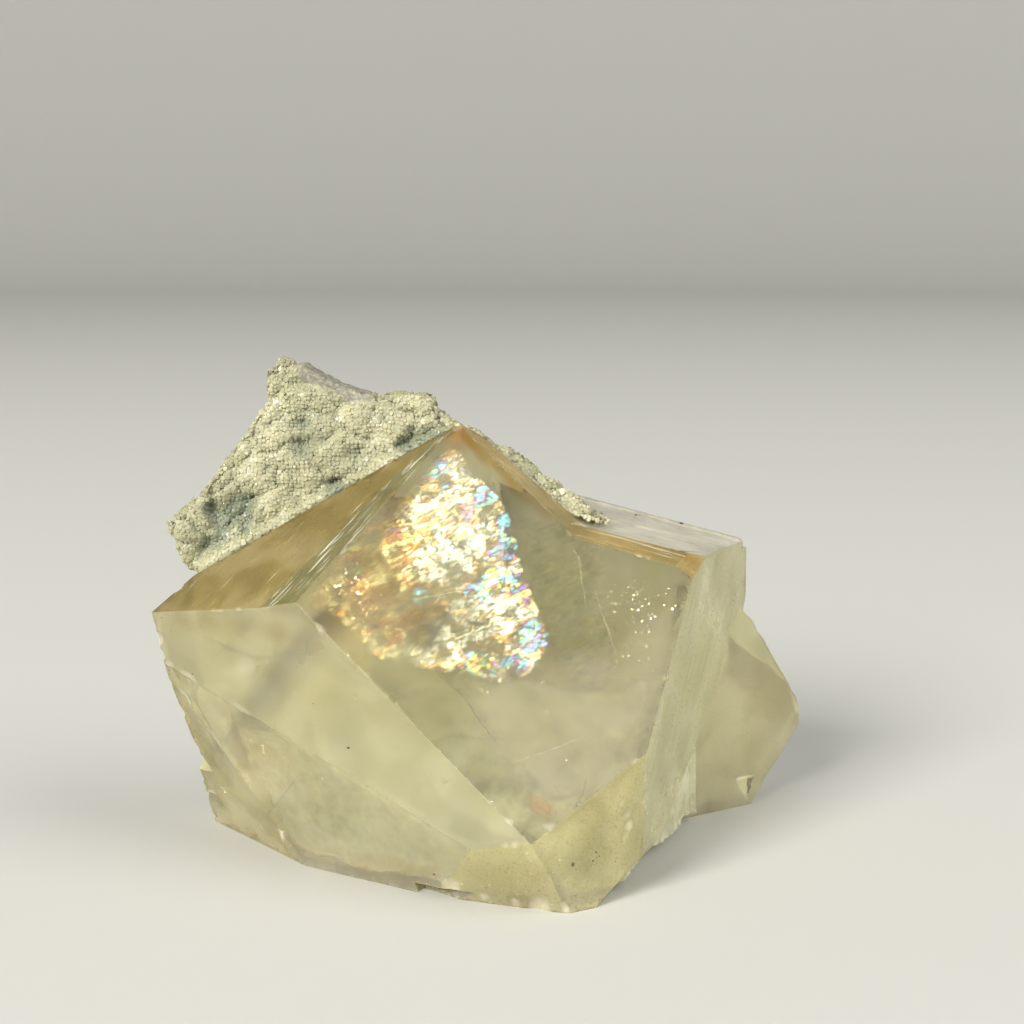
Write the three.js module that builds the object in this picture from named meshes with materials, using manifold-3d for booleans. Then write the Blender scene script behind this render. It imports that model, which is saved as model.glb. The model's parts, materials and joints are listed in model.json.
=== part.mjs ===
// Calcite on chalcedony: a honey-coloured calcite crystal group grown on the front of
// a leaning plate of drusy chalcedony. Millimetres, +Z up, the front looks along -Y.
// The origin ends up at the middle of the bottom of the whole specimen.
import * as THREE from 'three';
import { ConvexGeometry } from 'three/addons/geometries/ConvexGeometry.js';
import { mergeVertices } from 'three/addons/utils/BufferGeometryUtils.js';
import Module from 'manifold-3d';

const wasm = await Module();
wasm.setup();

// ---- driving sizes, mm -----------------------------------------------------------
const contactGap = 0.3;          // left between the calcite and the chalcedony
const openReach = 90;            // how far the open side of a growth or a notch runs
const plateHalfThickness = 5.5;  // chalcedony plate, at its middle
const rimHalfThickness = 3.4;    // chalcedony plate, at its broken rim
const plateMiddle = { x: -14, z: 32 };
const crest = { x: -7, y: 34, z: 46 };  // where the middle layer of the plate bows furthest
const bow = { left: 0.004, right: 0.012, height: 0.005 };  // how fast it curves away from there
const knobSize = 6.5;            // spacing of the rounded chalcedony knobs
const knobHeight = 1.7;          // how far a knob stands out
const backKnobScale = 1.5;       // knobs on the hidden back are this much broader
const mergeReach = 1e-4;         // points nearer than this are one point

// Corners of the main crystal, from the ground point under its front toe.
const corner = {
  leftTip: [-46.0, 22.0, 31.8],
  leftNotch: [-31.3, 14.2, 33.8],    // where the tan face meets the step face
  shoulder: [-26.6, 11.8, 35.0],     // left corner of the large window face
  prow: [2.0, -3.5, 9.4],            // lowest corner of the window face
  apex: [-7.2, 29.0, 55.2],
  apexBack: [-6.5, 30.8, 55.4],
  stepMiddle: [-14.5, 24.8, 48.8],   // on the step between tan face and window
  saddle: [7.7, 20.7, 41.5],         // foot of the ridge, where the ledge starts
  saddleBack: [6.7, 26.3, 44.4],
  ledgeNose: [22.7, 19.7, 37.5],     // front right corner of the ledge
  ledgeBack: [31.8, 42.0, 38.0],     // back right corner of the ledge
  waist: [15.8, 4.6, 18.2],          // where window, toe and striated faces meet
  toe: [7.0, 0.0, 0.0],
};
const mainHeart = [-5, 24, 15];      // a point well inside the main crystal
const lobeHeart = [27, 45, 8];       // a point well inside the right-hand lobe

// Front outline of the chalcedony plate as x, z pairs, anticlockwise from its left end.
const plateOutline = [
  [-45.4, 43], [-44.2, 38.5], [-42, 35], [-37.5, 29], [-36, 20], [-33, 9], [-26, 3.4], [-10, 1.6],
  [6, 2], [15, 6], [18.5, 16], [17, 30], [13.5, 41], [9.7, 45], [5.1, 48.4], [1, 51],
  [-5, 55], [-8.7, 57], [-11, 59.2], [-19.5, 59.4], [-23, 61], [-30, 64], [-32, 63],
  [-32.8, 58.6], [-36, 53.2], [-37.4, 51.2], [-39.5, 48.4], [-42, 46],
];

// ---- planes ----------------------------------------------------------------------
// A plane is { normal, reach }, and the crystal lies where normal . p <= reach.
const vec = (p) => new THREE.Vector3(...p);

function through(a, b, c, heart = mainHeart) {
  const normal = vec(b).sub(vec(a)).cross(vec(c).sub(vec(a))).normalize();
  if (normal.dot(vec(heart).sub(vec(a))) > 0) normal.negate();
  return { normal, reach: normal.dot(vec(a)) };
}

// Azimuth turns from the front (-Y) towards +X and elevation lifts the normal, degrees.
function facing(azimuth, elevation, point) {
  const turn = THREE.MathUtils.degToRad(azimuth);
  const lift = THREE.MathUtils.degToRad(elevation);
  const normal = new THREE.Vector3(
    Math.sin(turn) * Math.cos(lift),
    -Math.cos(turn) * Math.cos(lift),
    Math.sin(lift),
  );
  return { normal, reach: normal.dot(vec(point)) };
}

const away = (plane) => ({ normal: plane.normal.clone().negate(), reach: -plane.reach });
const openSides = [0, 90, 180, 270].map((azimuth) => facing(azimuth, 0, [0, 0, 0]))
  .concat([facing(0, 90, [0, 0, 0]), facing(0, -90, [0, 0, 0])])
  .map((plane) => ({ normal: plane.normal, reach: openReach }));

// ---- faces -----------------------------------------------------------------------
const floorFace = facing(0, -90, [0, 0, 0]);

const outer = [
  through(corner.shoulder, corner.prow, corner.apex),          // large window face
  through(corner.leftTip, corner.shoulder, corner.prow),       // pale face, left front
  through(corner.prow, corner.waist, corner.toe),              // toe face, right front
  through(corner.ledgeNose, corner.waist, corner.ledgeBack),   // striated right face
  through([-4.5, -0.3, 8.2], [2.2, -3.4, 9.2], [1, 1.7, 0]),   // broken front of the toe
  through([29.9, 38.2, 24.3], [18.3, 11.8, 6], [16.5, 20, 0]), // undercut, right
  facing(70, -38, [10.8, 4.7, 0]),                             // undercut, low right
];
const lowLeft = facing(-53, -26, [-40.8, 36.3, 0]);
const underPale = through([-37, 17.2, 22], [-8.7, 2.3, 8.8], [-21.3, 13.7, 0]);
const backLeft = through([-41, 24.8, 36.1], [-9.5, 28.9, 54], [-39, 29, 12]);
const backRight = through(corner.apexBack, corner.saddleBack, [-5.5, 33.3, 45.4]);
const leftEnd = through(corner.leftTip, [-41, 24.8, 36.1], [-43.6, 24.5, 20]);
const leftUndercut = through(corner.leftTip, [-42.2, 26, 15.6], [-42.6, 36, 15.6]);
const ridgeBevel = through(corner.apex, corner.saddle, corner.apexBack);

const peak = [
  through(corner.leftNotch, corner.shoulder, corner.apex),     // narrow step face
  ridgeBevel, backLeft, backRight, leftEnd, leftUndercut, lowLeft, underPale,
];
const leftWing = [
  through(corner.leftTip, corner.leftNotch, corner.stepMiddle),  // tan face
  ridgeBevel, backLeft, backRight, leftEnd, leftUndercut, lowLeft, underPale,
];
const ledge = [
  through(corner.saddle, corner.ledgeNose, [23.1, 23, 39]),    // honey bevel of the ledge
  through([11.6, 25.5, 42], [23.1, 23, 39], corner.ledgeBack), // flat top of the ledge
  facing(-90, 0, [-2, 0, 0]),                                  // starts inside the peak
  facing(-140, 6, [2, 42, 20]),                                // back, towards the plate
  facing(172, 8, corner.ledgeBack),                            // back, right half
  facing(38, 52, [22.2, 20.6, 37.7]),                          // small corner facet
  underPale,
];
const foot = [
  facing(-102, 2, [-40.8, 36.3, 0]),                           // left side
  facing(-60, 38, [-39, 27, 10]),                              // slope above it
  facing(165, 5, [-36, 40.5, 0]),                              // back
  facing(90, 0, [-20, 0, 0]),                                  // ends inside the peak
  lowLeft, underPale,
];

const lobeTip = [41.6, 47.6, 12];
const lobeTop = [32.4, 38.2, 27.9];
const lobe = [
  through([25, 38.5, 0], [33.5, 44.5, 0], [38.5, 43.5, 22], lobeHeart),
  through(lobeTop, lobeTip, [43.6, 59.6, 8.0], lobeHeart),
  through(lobeTip, [33.9, 44.6, 0.7], [43, 59.6, 12], lobeHeart),
  facing(62, 5, [40.6, 47.6, 12]),                             // blunt right tip
  facing(50, 12, [33.6, 40.6, 23]),                            // rounding under the top edge
  facing(150, 12, [36, 55, 0]),                                // back
  facing(165, 48, [30, 46, 24]),                               // slope down to the back
  facing(-135, 8, [20, 50, 0]),                                // back left
  facing(-60, 60, [30.4, 38.2, 27.9]),                         // top, inside the main crystal
];

// Cleavage: three plane directions, 75 degrees apart, along which the calcite breaks.
const cleavage = {
  flat: [0, 90],
  left: [-45, 15],
  right: [65.5, 15],
};

// ---- solids ----------------------------------------------------------------------
function toSolid(geometry) {
  const bare = geometry.clone();
  bare.deleteAttribute('normal');
  bare.deleteAttribute('uv');
  const merged = mergeVertices(bare, mergeReach);
  return new wasm.Manifold(new wasm.Mesh({
    numProp: 3,
    vertProperties: new Float32Array(merged.attributes.position.array),
    triVerts: new Uint32Array(merged.index.array),
  }));
}

function toGeometry(solid) {
  const mesh = solid.getMesh();
  const geometry = new THREE.BufferGeometry();
  geometry.setAttribute('position', new THREE.BufferAttribute(mesh.vertProperties, 3));
  geometry.setIndex(new THREE.BufferAttribute(mesh.triVerts, 1));
  return geometry;
}

// The convex body inside every plane, each plane moved outwards by grow.
function bounded(planes, grow = 0) {
  const sides = planes.map(({ normal, reach }) => ({ normal, reach: reach + grow }))
    .concat(openSides);
  const points = [];
  const matrix = new THREE.Matrix3();
  const parallel = 1e-6;
  const slack = 1e-5;
  for (let i = 0; i < sides.length; i += 1) {
    for (let j = i + 1; j < sides.length; j += 1) {
      for (let k = j + 1; k < sides.length; k += 1) {
        const [a, b, c] = [sides[i], sides[j], sides[k]];
        matrix.set(...a.normal, ...b.normal, ...c.normal);
        if (Math.abs(matrix.determinant()) > parallel) {
          const point = new THREE.Vector3(a.reach, b.reach, c.reach).applyMatrix3(matrix.invert());
          if (sides.every((side) => side.normal.dot(point) < side.reach + slack)) {
            points.push(point);
          }
        }
      }
    }
  }
  return toSolid(new ConvexGeometry(points));
}

// A step broken out of an edge: all that lies beyond three cleavage planes at a corner.
function brokenStep({ point, sides }) {
  const planes = Object.keys(cleavage).map((name) => {
    const plane = facing(...cleavage[name], point);
    return sides[name] > 0 ? away(plane) : plane;
  });
  return bounded(planes);
}

// Each step: its inner corner, and on which side of each cleavage plane it lies.
const brokenSteps = [
  { point: [-42.6, 24.6, 19.6], sides: { flat: -1, left: 1, right: -1 } },   // left end
  { point: [-41.0, 27.8, 12.6], sides: { flat: -1, left: 1, right: -1 } },
  { point: [-38.6, 31.5, 5.2], sides: { flat: -1, left: 1, right: -1 } },
  { point: [-11.0, 9.6, 1.3], sides: { flat: -1, left: 1, right: 1 } },      // front foot
  { point: [32.4, 45.2, 4.2], sides: { flat: -1, left: 1, right: 1 } },      // under the lobe
  { point: [30.6, 40.4, 37.0], sides: { flat: 1, left: -1, right: 1 } },     // ledge, back corner
];

function growCalcite(grow) {
  const growths = [peak, leftWing, ledge, foot].map((planes) => bounded(planes, grow));
  const main = growths.reduce((sum, growth) => sum.add(growth)).intersect(bounded(outer, grow));
  const whole = main.add(bounded(lobe, grow)).intersect(bounded([floorFace]));
  if (grow > 0) return whole;
  return brokenSteps.reduce((rest, step) => rest.subtract(brokenStep(step)), whole);
}

// ---- chalcedony plate ------------------------------------------------------------
const fract = (x) => x - Math.floor(x);
const scatter = (i, j, salt) => fract(Math.sin(i * 127.1 + j * 311.7 + salt * 74.7) * 43758.5453);

// Height of the nearest rounded knob over a point of the plate, 0 to 1.
function knob(x, z, salt, size) {
  const column = Math.floor(x / size);
  const row = Math.floor(z / size);
  let height = 0;
  for (let i = column - 1; i <= column + 1; i += 1) {
    for (let j = row - 1; j <= row + 1; j += 1) {
      const centreX = (i + scatter(i, j, salt)) * size;
      const centreZ = (j + scatter(i, j, salt + 1)) * size;
      const radius = size * (0.65 + 0.35 * scatter(i, j, salt + 2));
      const nearness = 1 - ((x - centreX) ** 2 + (z - centreZ) ** 2) / radius ** 2;
      if (nearness > 0) height = Math.max(height, Math.sqrt(nearness));
    }
  }
  return height;
}

// Depth of the middle layer of the plate, which wraps round the back of the crystal.
function middleLayer(x, z) {
  const sideBow = x < crest.x ? -bow.left : -bow.right;
  return crest.y + sideBow * (x - crest.x) ** 2 + bow.height * (z - crest.z) ** 2;
}

function plateGeometry() {
  const around = 84;
  const faceRings = 15;
  const rimRings = 3;
  const loop = new THREE.CatmullRomCurve3(
    plateOutline.map(([x, z]) => new THREE.Vector3(x, 0, z)), true, 'centripetal');
  const edge = loop.getSpacedPoints(around).slice(0, around);
  const centre = new THREE.Vector3(plateMiddle.x, 0, plateMiddle.z);
  const positions = [];
  const index = [];

  // share runs 0 at the middle to 1 at the rim; side is -1 front, +1 back, or between on the rim
  function place(share, step, side) {
    const point = centre.clone().lerp(edge[step], share);
    const swell = Math.sqrt(1 - share ** 5);
    const half = rimHalfThickness + (plateHalfThickness - rimHalfThickness) * swell;
    const onFront = side < 0;
    const size = onFront ? knobSize : knobSize * backKnobScale;
    const relief = knob(point.x, point.z, onFront ? 3 : 11, size);
    const fade = Math.min(1, 1.3 - share);  // knobs run out towards the rim
    const out = side * (half - knobHeight * 0.5 + knobHeight * relief * fade);
    return [point.x, middleLayer(point.x, point.z) + out, point.z];
  }

  const rings = [];
  for (let ring = 1; ring <= faceRings; ring += 1) rings.push([ring / faceRings, -1]);
  for (let ring = 1; ring < rimRings; ring += 1) rings.push([1, -1 + (2 * ring) / rimRings]);
  for (let ring = faceRings; ring >= 1; ring -= 1) rings.push([ring / faceRings, 1]);

  positions.push(...place(0, 0, -1));
  rings.forEach(([share, side]) => {
    for (let step = 0; step < around; step += 1) positions.push(...place(share, step, side));
  });
  positions.push(...place(0, 0, 1));

  const last = 1 + rings.length * around;
  for (let step = 0; step < around; step += 1) {
    const next = (step + 1) % around;
    index.push(0, 1 + step, 1 + next);
    for (let ring = 0; ring < rings.length - 1; ring += 1) {
      const a = 1 + ring * around + step;
      const b = 1 + ring * around + next;
      index.push(a, a + around, b, b, a + around, b + around);
    }
    const rim = 1 + (rings.length - 1) * around;
    index.push(rim + step, last, rim + next);
  }
  const geometry = new THREE.BufferGeometry();
  geometry.setAttribute('position', new THREE.Float32BufferAttribute(positions, 3));
  geometry.setIndex(index);
  return geometry;
}

// ---- the specimen ----------------------------------------------------------------
const calciteGeometry = toGeometry(growCalcite(0));
const chalcedonyGeometry = toGeometry(toSolid(plateGeometry()).subtract(growCalcite(contactGap)));

const box = new THREE.Box3();
[calciteGeometry, chalcedonyGeometry].forEach((geometry) => {
  geometry.computeBoundingBox();
  box.union(geometry.boundingBox);
});
const middle = box.getCenter(new THREE.Vector3());

const finish = {
  calcite: new THREE.MeshStandardMaterial({ color: 0xcdbd86, roughness: 0.12, metalness: 0 }),
  chalcedony: new THREE.MeshStandardMaterial({ color: 0xb4b7a2, roughness: 0.55, metalness: 0 }),
};

function piece(name, geometry, material) {
  const mesh = new THREE.Mesh(geometry, material);
  mesh.name = name;
  return mesh;
}

const specimen = new THREE.Group();
specimen.add(
  piece('calcite', calciteGeometry, finish.calcite),
  piece('chalcedony', chalcedonyGeometry, finish.chalcedony),
);
specimen.position.set(-middle.x, -middle.y, -box.min.z);

export default specimen;
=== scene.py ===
import json
import math

import bmesh
import bpy
import numpy as np
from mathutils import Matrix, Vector
from mathutils.bvhtree import BVHTree
from mathutils.geometry import delaunay_2d_cdt

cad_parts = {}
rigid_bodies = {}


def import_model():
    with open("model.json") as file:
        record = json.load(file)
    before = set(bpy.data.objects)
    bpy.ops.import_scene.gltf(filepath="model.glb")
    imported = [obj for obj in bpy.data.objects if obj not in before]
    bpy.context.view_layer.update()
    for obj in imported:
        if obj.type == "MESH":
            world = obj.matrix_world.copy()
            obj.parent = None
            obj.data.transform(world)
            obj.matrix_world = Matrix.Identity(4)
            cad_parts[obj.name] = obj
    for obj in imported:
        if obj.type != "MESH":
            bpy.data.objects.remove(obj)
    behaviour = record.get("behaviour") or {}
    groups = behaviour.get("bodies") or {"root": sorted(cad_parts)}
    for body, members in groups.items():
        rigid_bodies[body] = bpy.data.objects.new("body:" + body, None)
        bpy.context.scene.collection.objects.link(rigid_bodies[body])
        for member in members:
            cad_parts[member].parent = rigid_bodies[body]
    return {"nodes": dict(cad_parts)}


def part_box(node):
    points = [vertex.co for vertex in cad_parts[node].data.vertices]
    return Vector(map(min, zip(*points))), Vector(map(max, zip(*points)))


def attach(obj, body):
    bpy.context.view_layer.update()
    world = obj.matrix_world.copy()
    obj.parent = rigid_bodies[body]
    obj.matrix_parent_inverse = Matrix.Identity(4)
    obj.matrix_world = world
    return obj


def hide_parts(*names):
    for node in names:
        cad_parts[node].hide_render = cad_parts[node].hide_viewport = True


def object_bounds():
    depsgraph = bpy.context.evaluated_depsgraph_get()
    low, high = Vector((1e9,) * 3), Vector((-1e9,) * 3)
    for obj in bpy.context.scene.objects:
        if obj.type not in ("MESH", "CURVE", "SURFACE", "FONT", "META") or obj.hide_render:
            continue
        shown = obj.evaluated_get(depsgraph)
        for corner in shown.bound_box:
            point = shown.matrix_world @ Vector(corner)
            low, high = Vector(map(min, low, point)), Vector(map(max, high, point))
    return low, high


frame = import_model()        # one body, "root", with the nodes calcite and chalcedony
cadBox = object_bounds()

mm = 0.001               # meshes are worked out in millimetres and stored in metres


def facing(azimuth, elevation):
    # unit vectors: azimuth turns from the front (-Y) towards +X, elevation lifts
    turn, lift = math.radians(azimuth), math.radians(elevation)
    return np.array([math.sin(turn) * math.cos(lift), -math.cos(turn) * math.cos(lift), math.sin(lift)])


def hashed(cells, seed):
    # 0 to 1 for each whole-number cell
    n = cells.astype(np.int64)
    mixed = (n[:, 0] * 73856093) ^ (n[:, 1] * 19349663) ^ (n[:, 2] * 83492791) ^ (seed * 9781 + 1013)
    mixed = ((mixed ^ (mixed >> 13)) * 1274126177) & 0xFFFFFFFF
    mixed = ((mixed ^ (mixed >> 15)) * 668265263) & 0xFFFFFFFF
    return ((mixed ^ (mixed >> 16)) & 0xFFFFF) / float(0xFFFFF)


def smoothNoise(points, size, seed):
    # -1 to 1, blended between the corners of cells of that size
    scaled = points / size
    low = np.floor(scaled)
    share = scaled - low
    share = share * share * (3 - 2 * share)
    total = np.zeros(len(points))
    for i in (0, 1):
        for j in (0, 1):
            for k in (0, 1):
                corner = np.array([i, j, k])
                weight = np.prod(np.where(corner, share, 1 - share), axis=1)
                total += weight * hashed(low + corner, seed)
    return total * 2 - 1


def cloudNoise(points, size, seed, octaves=3):
    total, strength, reach = np.zeros(len(points)), 1.0, 0.0
    for octave in range(octaves):
        total += strength * smoothNoise(points, size / 2 ** octave, seed + octave)
        reach += strength
        strength *= 0.5
    return total / reach


def cellNoise(points, size, seed):
    # distance to the nearest scattered centre, to the next one, and the nearest one's number
    scaled = points / size
    low = np.floor(scaled)
    first = np.full(len(points), 9.0)
    second = np.full(len(points), 9.0)
    number = np.zeros(len(points))
    for i in (-1, 0, 1):
        for j in (-1, 0, 1):
            for k in (-1, 0, 1):
                cell = low + np.array([i, j, k])
                spot = cell + np.stack([hashed(cell, seed + s) for s in (0, 1, 2)], axis=1)
                gap = np.linalg.norm(spot - scaled, axis=1)
                nearer = gap < first
                second = np.where(nearer, first, np.minimum(second, gap))
                number = np.where(nearer, hashed(cell, seed + 3), number)
                first = np.where(nearer, gap, first)
    return first, second, number


def fade(value, low, high):
    # 0 below low, 1 above high, smooth between them
    share = np.clip((value - low) / (high - low), 0, 1)
    return share * share * (3 - 2 * share)


def makeObject(name, vertices, faces, smooth=True):
    mesh = bpy.data.meshes.new(name)
    mesh.from_pydata([tuple(v) for v in vertices * mm], [], faces)
    mesh.update()
    piece = bpy.data.objects.new(name, mesh)
    bpy.context.scene.collection.objects.link(piece)
    mesh.polygons.foreach_set("use_smooth", np.full(len(mesh.polygons), smooth))
    return piece


def inSpace(flat):
    # flat points as points in space
    return np.column_stack([flat, np.zeros(len(flat))])


def takeApart(shape):
    # points and faces of a bmesh, which is then freed
    shape.verts.index_update()
    points = np.array([v.co[:] for v in shape.verts])
    faces = [tuple(v.index for v in f.verts) for f in shape.faces]
    shape.free()
    return points, faces


def setAttribute(mesh, name, domain, values):
    layer = mesh.attributes.new(name, "FLOAT", domain)
    layer.data.foreach_set("value", np.asarray(values, np.float32))


view = {
    "distance": 219.7,   # from the front toe of the crystal, level, mm
    "toeBack": 3.47,     # how far that toe stands behind the foremost point of the box, mm
    "height": 79.0,
    "lookDown": 8.0,     # degrees
    "lens": 68.1,
    "sensor": 36.0,
    "side": 2.3,         # the camera stands this far right of the middle, mm
    "shift": (-0.002, -0.003),   # of the picture's width
}

light = {
    "keyFrom": (-33, 29),    # azimuth and elevation that it comes from, degrees
    "keyDistance": 3000.0,
    "keySize": 1300.0,
    "keyPower": 119.0,
    "keyColour": (1, 0.97, 0.91),
    "fillFrom": (62, 38),
    "fillDistance": 3000.0,
    "fillSize": 2400.0,
    "fillPower": 48.0,
    "fillColour": (0.99, 0.98, 0.96),
    "worldColour": (0.96, 0.96, 0.96),
    "worldStrength": 0.35,
}

# How often light may bounce: enough to cross the crystal a few times.
lightPaths = {"max_bounces": 8, "diffuse_bounces": 2, "glossy_bounces": 6, "transmission_bounces": 8,
              "use_light_tree": False}


def makeCamera():
    data = bpy.data.cameras.new("camera")
    data.lens = view["lens"]
    data.sensor_width = view["sensor"]
    data.clip_start = 0.01
    data.shift_x, data.shift_y = view["shift"]
    camera = bpy.data.objects.new("camera", data)
    bpy.context.scene.collection.objects.link(camera)
    toeY = cadBox[0][1] + view["toeBack"] * mm
    camera.location = (view["side"] * mm, toeY - view["distance"] * mm, view["height"] * mm)
    camera.rotation_euler = (math.radians(90 - view["lookDown"]), 0, 0)
    bpy.context.scene.camera = camera


def makeLamp(name):
    data = bpy.data.lights.new(name, "AREA")
    data.shape = "DISK"
    data.size = light[name + "Size"] * mm
    data.energy = light[name + "Power"]
    data.color = light[name + "Colour"]
    lamp = bpy.data.objects.new(name, data)
    bpy.context.scene.collection.objects.link(lamp)
    way = Vector(facing(*light[name + "From"]))
    lamp.location = way * light[name + "Distance"] * mm
    lamp.rotation_euler = way.to_track_quat("Z", "Y").to_euler()


def makeWorld():
    world = bpy.data.worlds.new("studio")
    world.use_nodes = True
    ground = world.node_tree.nodes["Background"]
    ground.inputs["Color"].default_value = (*light["worldColour"], 1)
    ground.inputs["Strength"].default_value = light["worldStrength"]
    bpy.context.scene.world = world


makeCamera()
makeLamp("key")
makeLamp("fill")
makeWorld()
bpy.context.scene.view_settings.view_transform = "Standard"
for name, value in lightPaths.items():
    setattr(bpy.context.scene.cycles, name, value)
print("camera and light")


windowWay = (7, 36)      # the way that the big front face looks

# Each kind of face: where it looks, azimuth and elevation in degrees, the spacing of its mesh
# points in mm, how frosted it is and how much of the light passes into it, 0 to 1. Tone is the
# share of the grey-green of the stone that the face grew on, umber that of brown, bloom that of a
# whitish film, which on the lobe faces is partly painted light that brightens them, and shade that
# of dark green. Lines is how strong its growth lines are, linesWay the way they run, and mottle how
# strongly it is speckled. Faces that match none are broken ones.
crystalFaces = {
    "window": {"facing": windowWay, "spacing": 0.6, "frost": 0.05, "clear": 0.95},
    "pale": {"facing": (-28, 0), "spacing": 0.5, "frost": 0.36, "clear": 0.84, "mottle": 0.12, "bloom": 0.12},
    "tan": {"facing": (-36, 51), "spacing": 0.5, "frost": 0.24, "clear": 0.8, "umber": 1.0, "lines": 0.6,
            "linesWay": (12, 9.5, 13)},
    "step": {"facing": (-44, 52), "spacing": 0.35, "frost": 0.16, "clear": 0.8, "umber": 0.6,
             "shade": 0.78, "lines": 1.4, "linesWay": (12, 9.5, 13)},
    "ridge": {"facing": (61, 51), "spacing": 0.35, "frost": 0.16, "clear": 0.62, "umber": 0.85, "lines": 0.9,
              "linesWay": (14.9, -8.3, -13.7)},
    "ledgeBevel": {"facing": (26, 62), "spacing": 0.35, "frost": 0.16, "clear": 0.72, "lines": 0.9,
                   "umber": 0.6, "linesWay": (15, -1, -4)},
    "ledgeTop": {"facing": (76, 76), "spacing": 0.45, "frost": 0.12, "clear": 0.6, "bloom": 0.8, "lines": 0.5,
                 "linesWay": (15, -3, -3)},
    "noseFacet": {"facing": (38, 52), "spacing": 0.35, "frost": 0.1, "clear": 0.7},
    "striated": {"facing": (68, -2), "spacing": 0.45, "frost": 0.32, "clear": 0.62, "mottle": 0.75,
                 "lines": 0.4, "linesWay": (-6.9, -15.1, -19.3)},
    "toe": {"facing": (32, -2), "spacing": 0.4, "frost": 0.4, "clear": 0.74, "mottle": 0.7},
    "toeFront": {"facing": (-21, -25), "spacing": 0.45, "frost": 0.42, "clear": 0.74, "mottle": 0.7},
    "lower": {"facing": (-34, -15), "spacing": 0.45, "frost": 0.2, "clear": 0.84, "mottle": 0.2},
    # On the lobe faces the whitish film share is partly painted light: a whiter tint that brightens the lobe,
    # which faces away from the key lamp
    "lobe": {"facing": (35, -9.5), "spacing": 0.55, "frost": 0.38, "clear": 0.66, "mottle": 0.25,
             "bloom": 0.24},
    "lobeUpper": {"facing": (92, 31), "spacing": 0.5, "frost": 0.4, "clear": 0.66, "bloom": 0.24},
    "lobeLower": {"facing": (83, -33), "spacing": 0.55, "frost": 0.38, "clear": 0.66, "bloom": 0.24},
    "leftUnder": {"facing": (-53, -26), "spacing": 0.5, "frost": 0.25, "clear": 0.8},
    "contact": {"facing": (-168, 9), "spacing": 0.9, "frost": 0.5, "clear": 0.08, "tone": 1.0},
    "contactRight": {"facing": (-140, 6), "spacing": 0.9, "frost": 0.5, "clear": 0.08, "tone": 1.0},
    "contactFoot": {"facing": (165, 5), "spacing": 0.9, "frost": 0.5, "clear": 0.08, "tone": 0.2},
    "ledgeBack": {"facing": (172, 8), "spacing": 0.8, "frost": 0.45, "clear": 0.22, "bloom": 0.3},
    "underRight": {"facing": (83, -25), "spacing": 0.6, "frost": 0.4, "clear": 0.62},
    "lobeBack": {"facing": (150, 12), "spacing": 0.8, "frost": 0.45, "clear": 0.3, "bloom": 0.3},
    "notch": {"facing": (-45, 15), "spacing": 0.5, "frost": 0.3, "clear": 0.86, "umber": 0.25},
    "ground": {"facing": (0, -90), "spacing": 1.2, "frost": 0.5, "clear": 0.03},
    "broken": {"facing": None, "spacing": 0.8, "frost": 0.4, "clear": 0.5},
}

# Scoops broken out of the surface: middle, width of the mouth and depth, mm.
conchoidalBreaks = [
    ((-29.5, -12.6, 16.4), 3.6, 0.3), ((-26.6, -14.2, 13.8), 2.4, 0.22), ((-31.8, -11.2, 20.0), 2.2, 0.3),
    ((-33.5, -9.8, 17.4), 2.2, 0.3), ((-36.8, -7.9, 15.4), 1.8, 0.4), ((-35.6, -8.0, 12.4), 1.6, 0.3),
    ((-33.8, -7.6, 9.6), 2.6, 0.35), ((-39.6, -6.2, 21.2), 1.8, 0.5), ((-38.2, -7.2, 24.0), 1.4, 0.3),
    ((-39.8, -4.6, 16.4), 1.2, 0.3), ((-39.2, -2.4, 12.6), 1.1, 0.25), ((-37.8, -0.8, 9.4), 1.4, 0.3),
    ((-38.6, 3.2, 4.6), 1.4, 0.3), ((-37.4, 2.0, 2.0), 1.2, 0.3), ((-30.4, -8.8, 4.0), 2.0, 0.25),
    ((-42.2, -6.0, 28.6), 0.9, 0.25), ((-40.9, -6.4, 25.4), 0.8, 0.25), ((-33.6, -6.6, 1.4), 1.5, 0.4),
    ((-4.7, -23.9, 1.0), 1.2, 0.2), ((-1.6, -25.2, 0.8), 1.0, 0.25),
    ((5.1, -27.4, 0.7), 1.7, 0.45), ((8.2, -28.4, 0.6), 1.2, 0.4), ((2.2, -26.6, 0.6), 1.0, 0.3),
    ((37.5, 17.4, 0.8), 0.8, 0.2),
    ((15.2, -24.9, 12.2), 0.9, 0.25), ((15.9, -24.6, 11.0), 0.7, 0.2),
    ((16.2, -24.4, 9.6), 0.8, 0.25), ((15.6, -24.7, 8.0), 0.7, 0.2), ((14.7, -25.2, 13.6), 0.6, 0.2),
    ((-35.2, -10.5, 33.0), 0.6, 0.2), ((-31.8, -12.3, 33.6), 0.6, 0.2),
    ((-16.9, -20.0, 24.2), 0.8, 0.2), ((-15.4, -21.0, 22.3), 0.6, 0.16), ((-18.4, -19.2, 27.0), 0.5, 0.15),
    ((-4.9, 0.4, 55.4), 1.2, 0.35), ((24.9, -7.9, 37.9), 0.5, 0.15),
]

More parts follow.
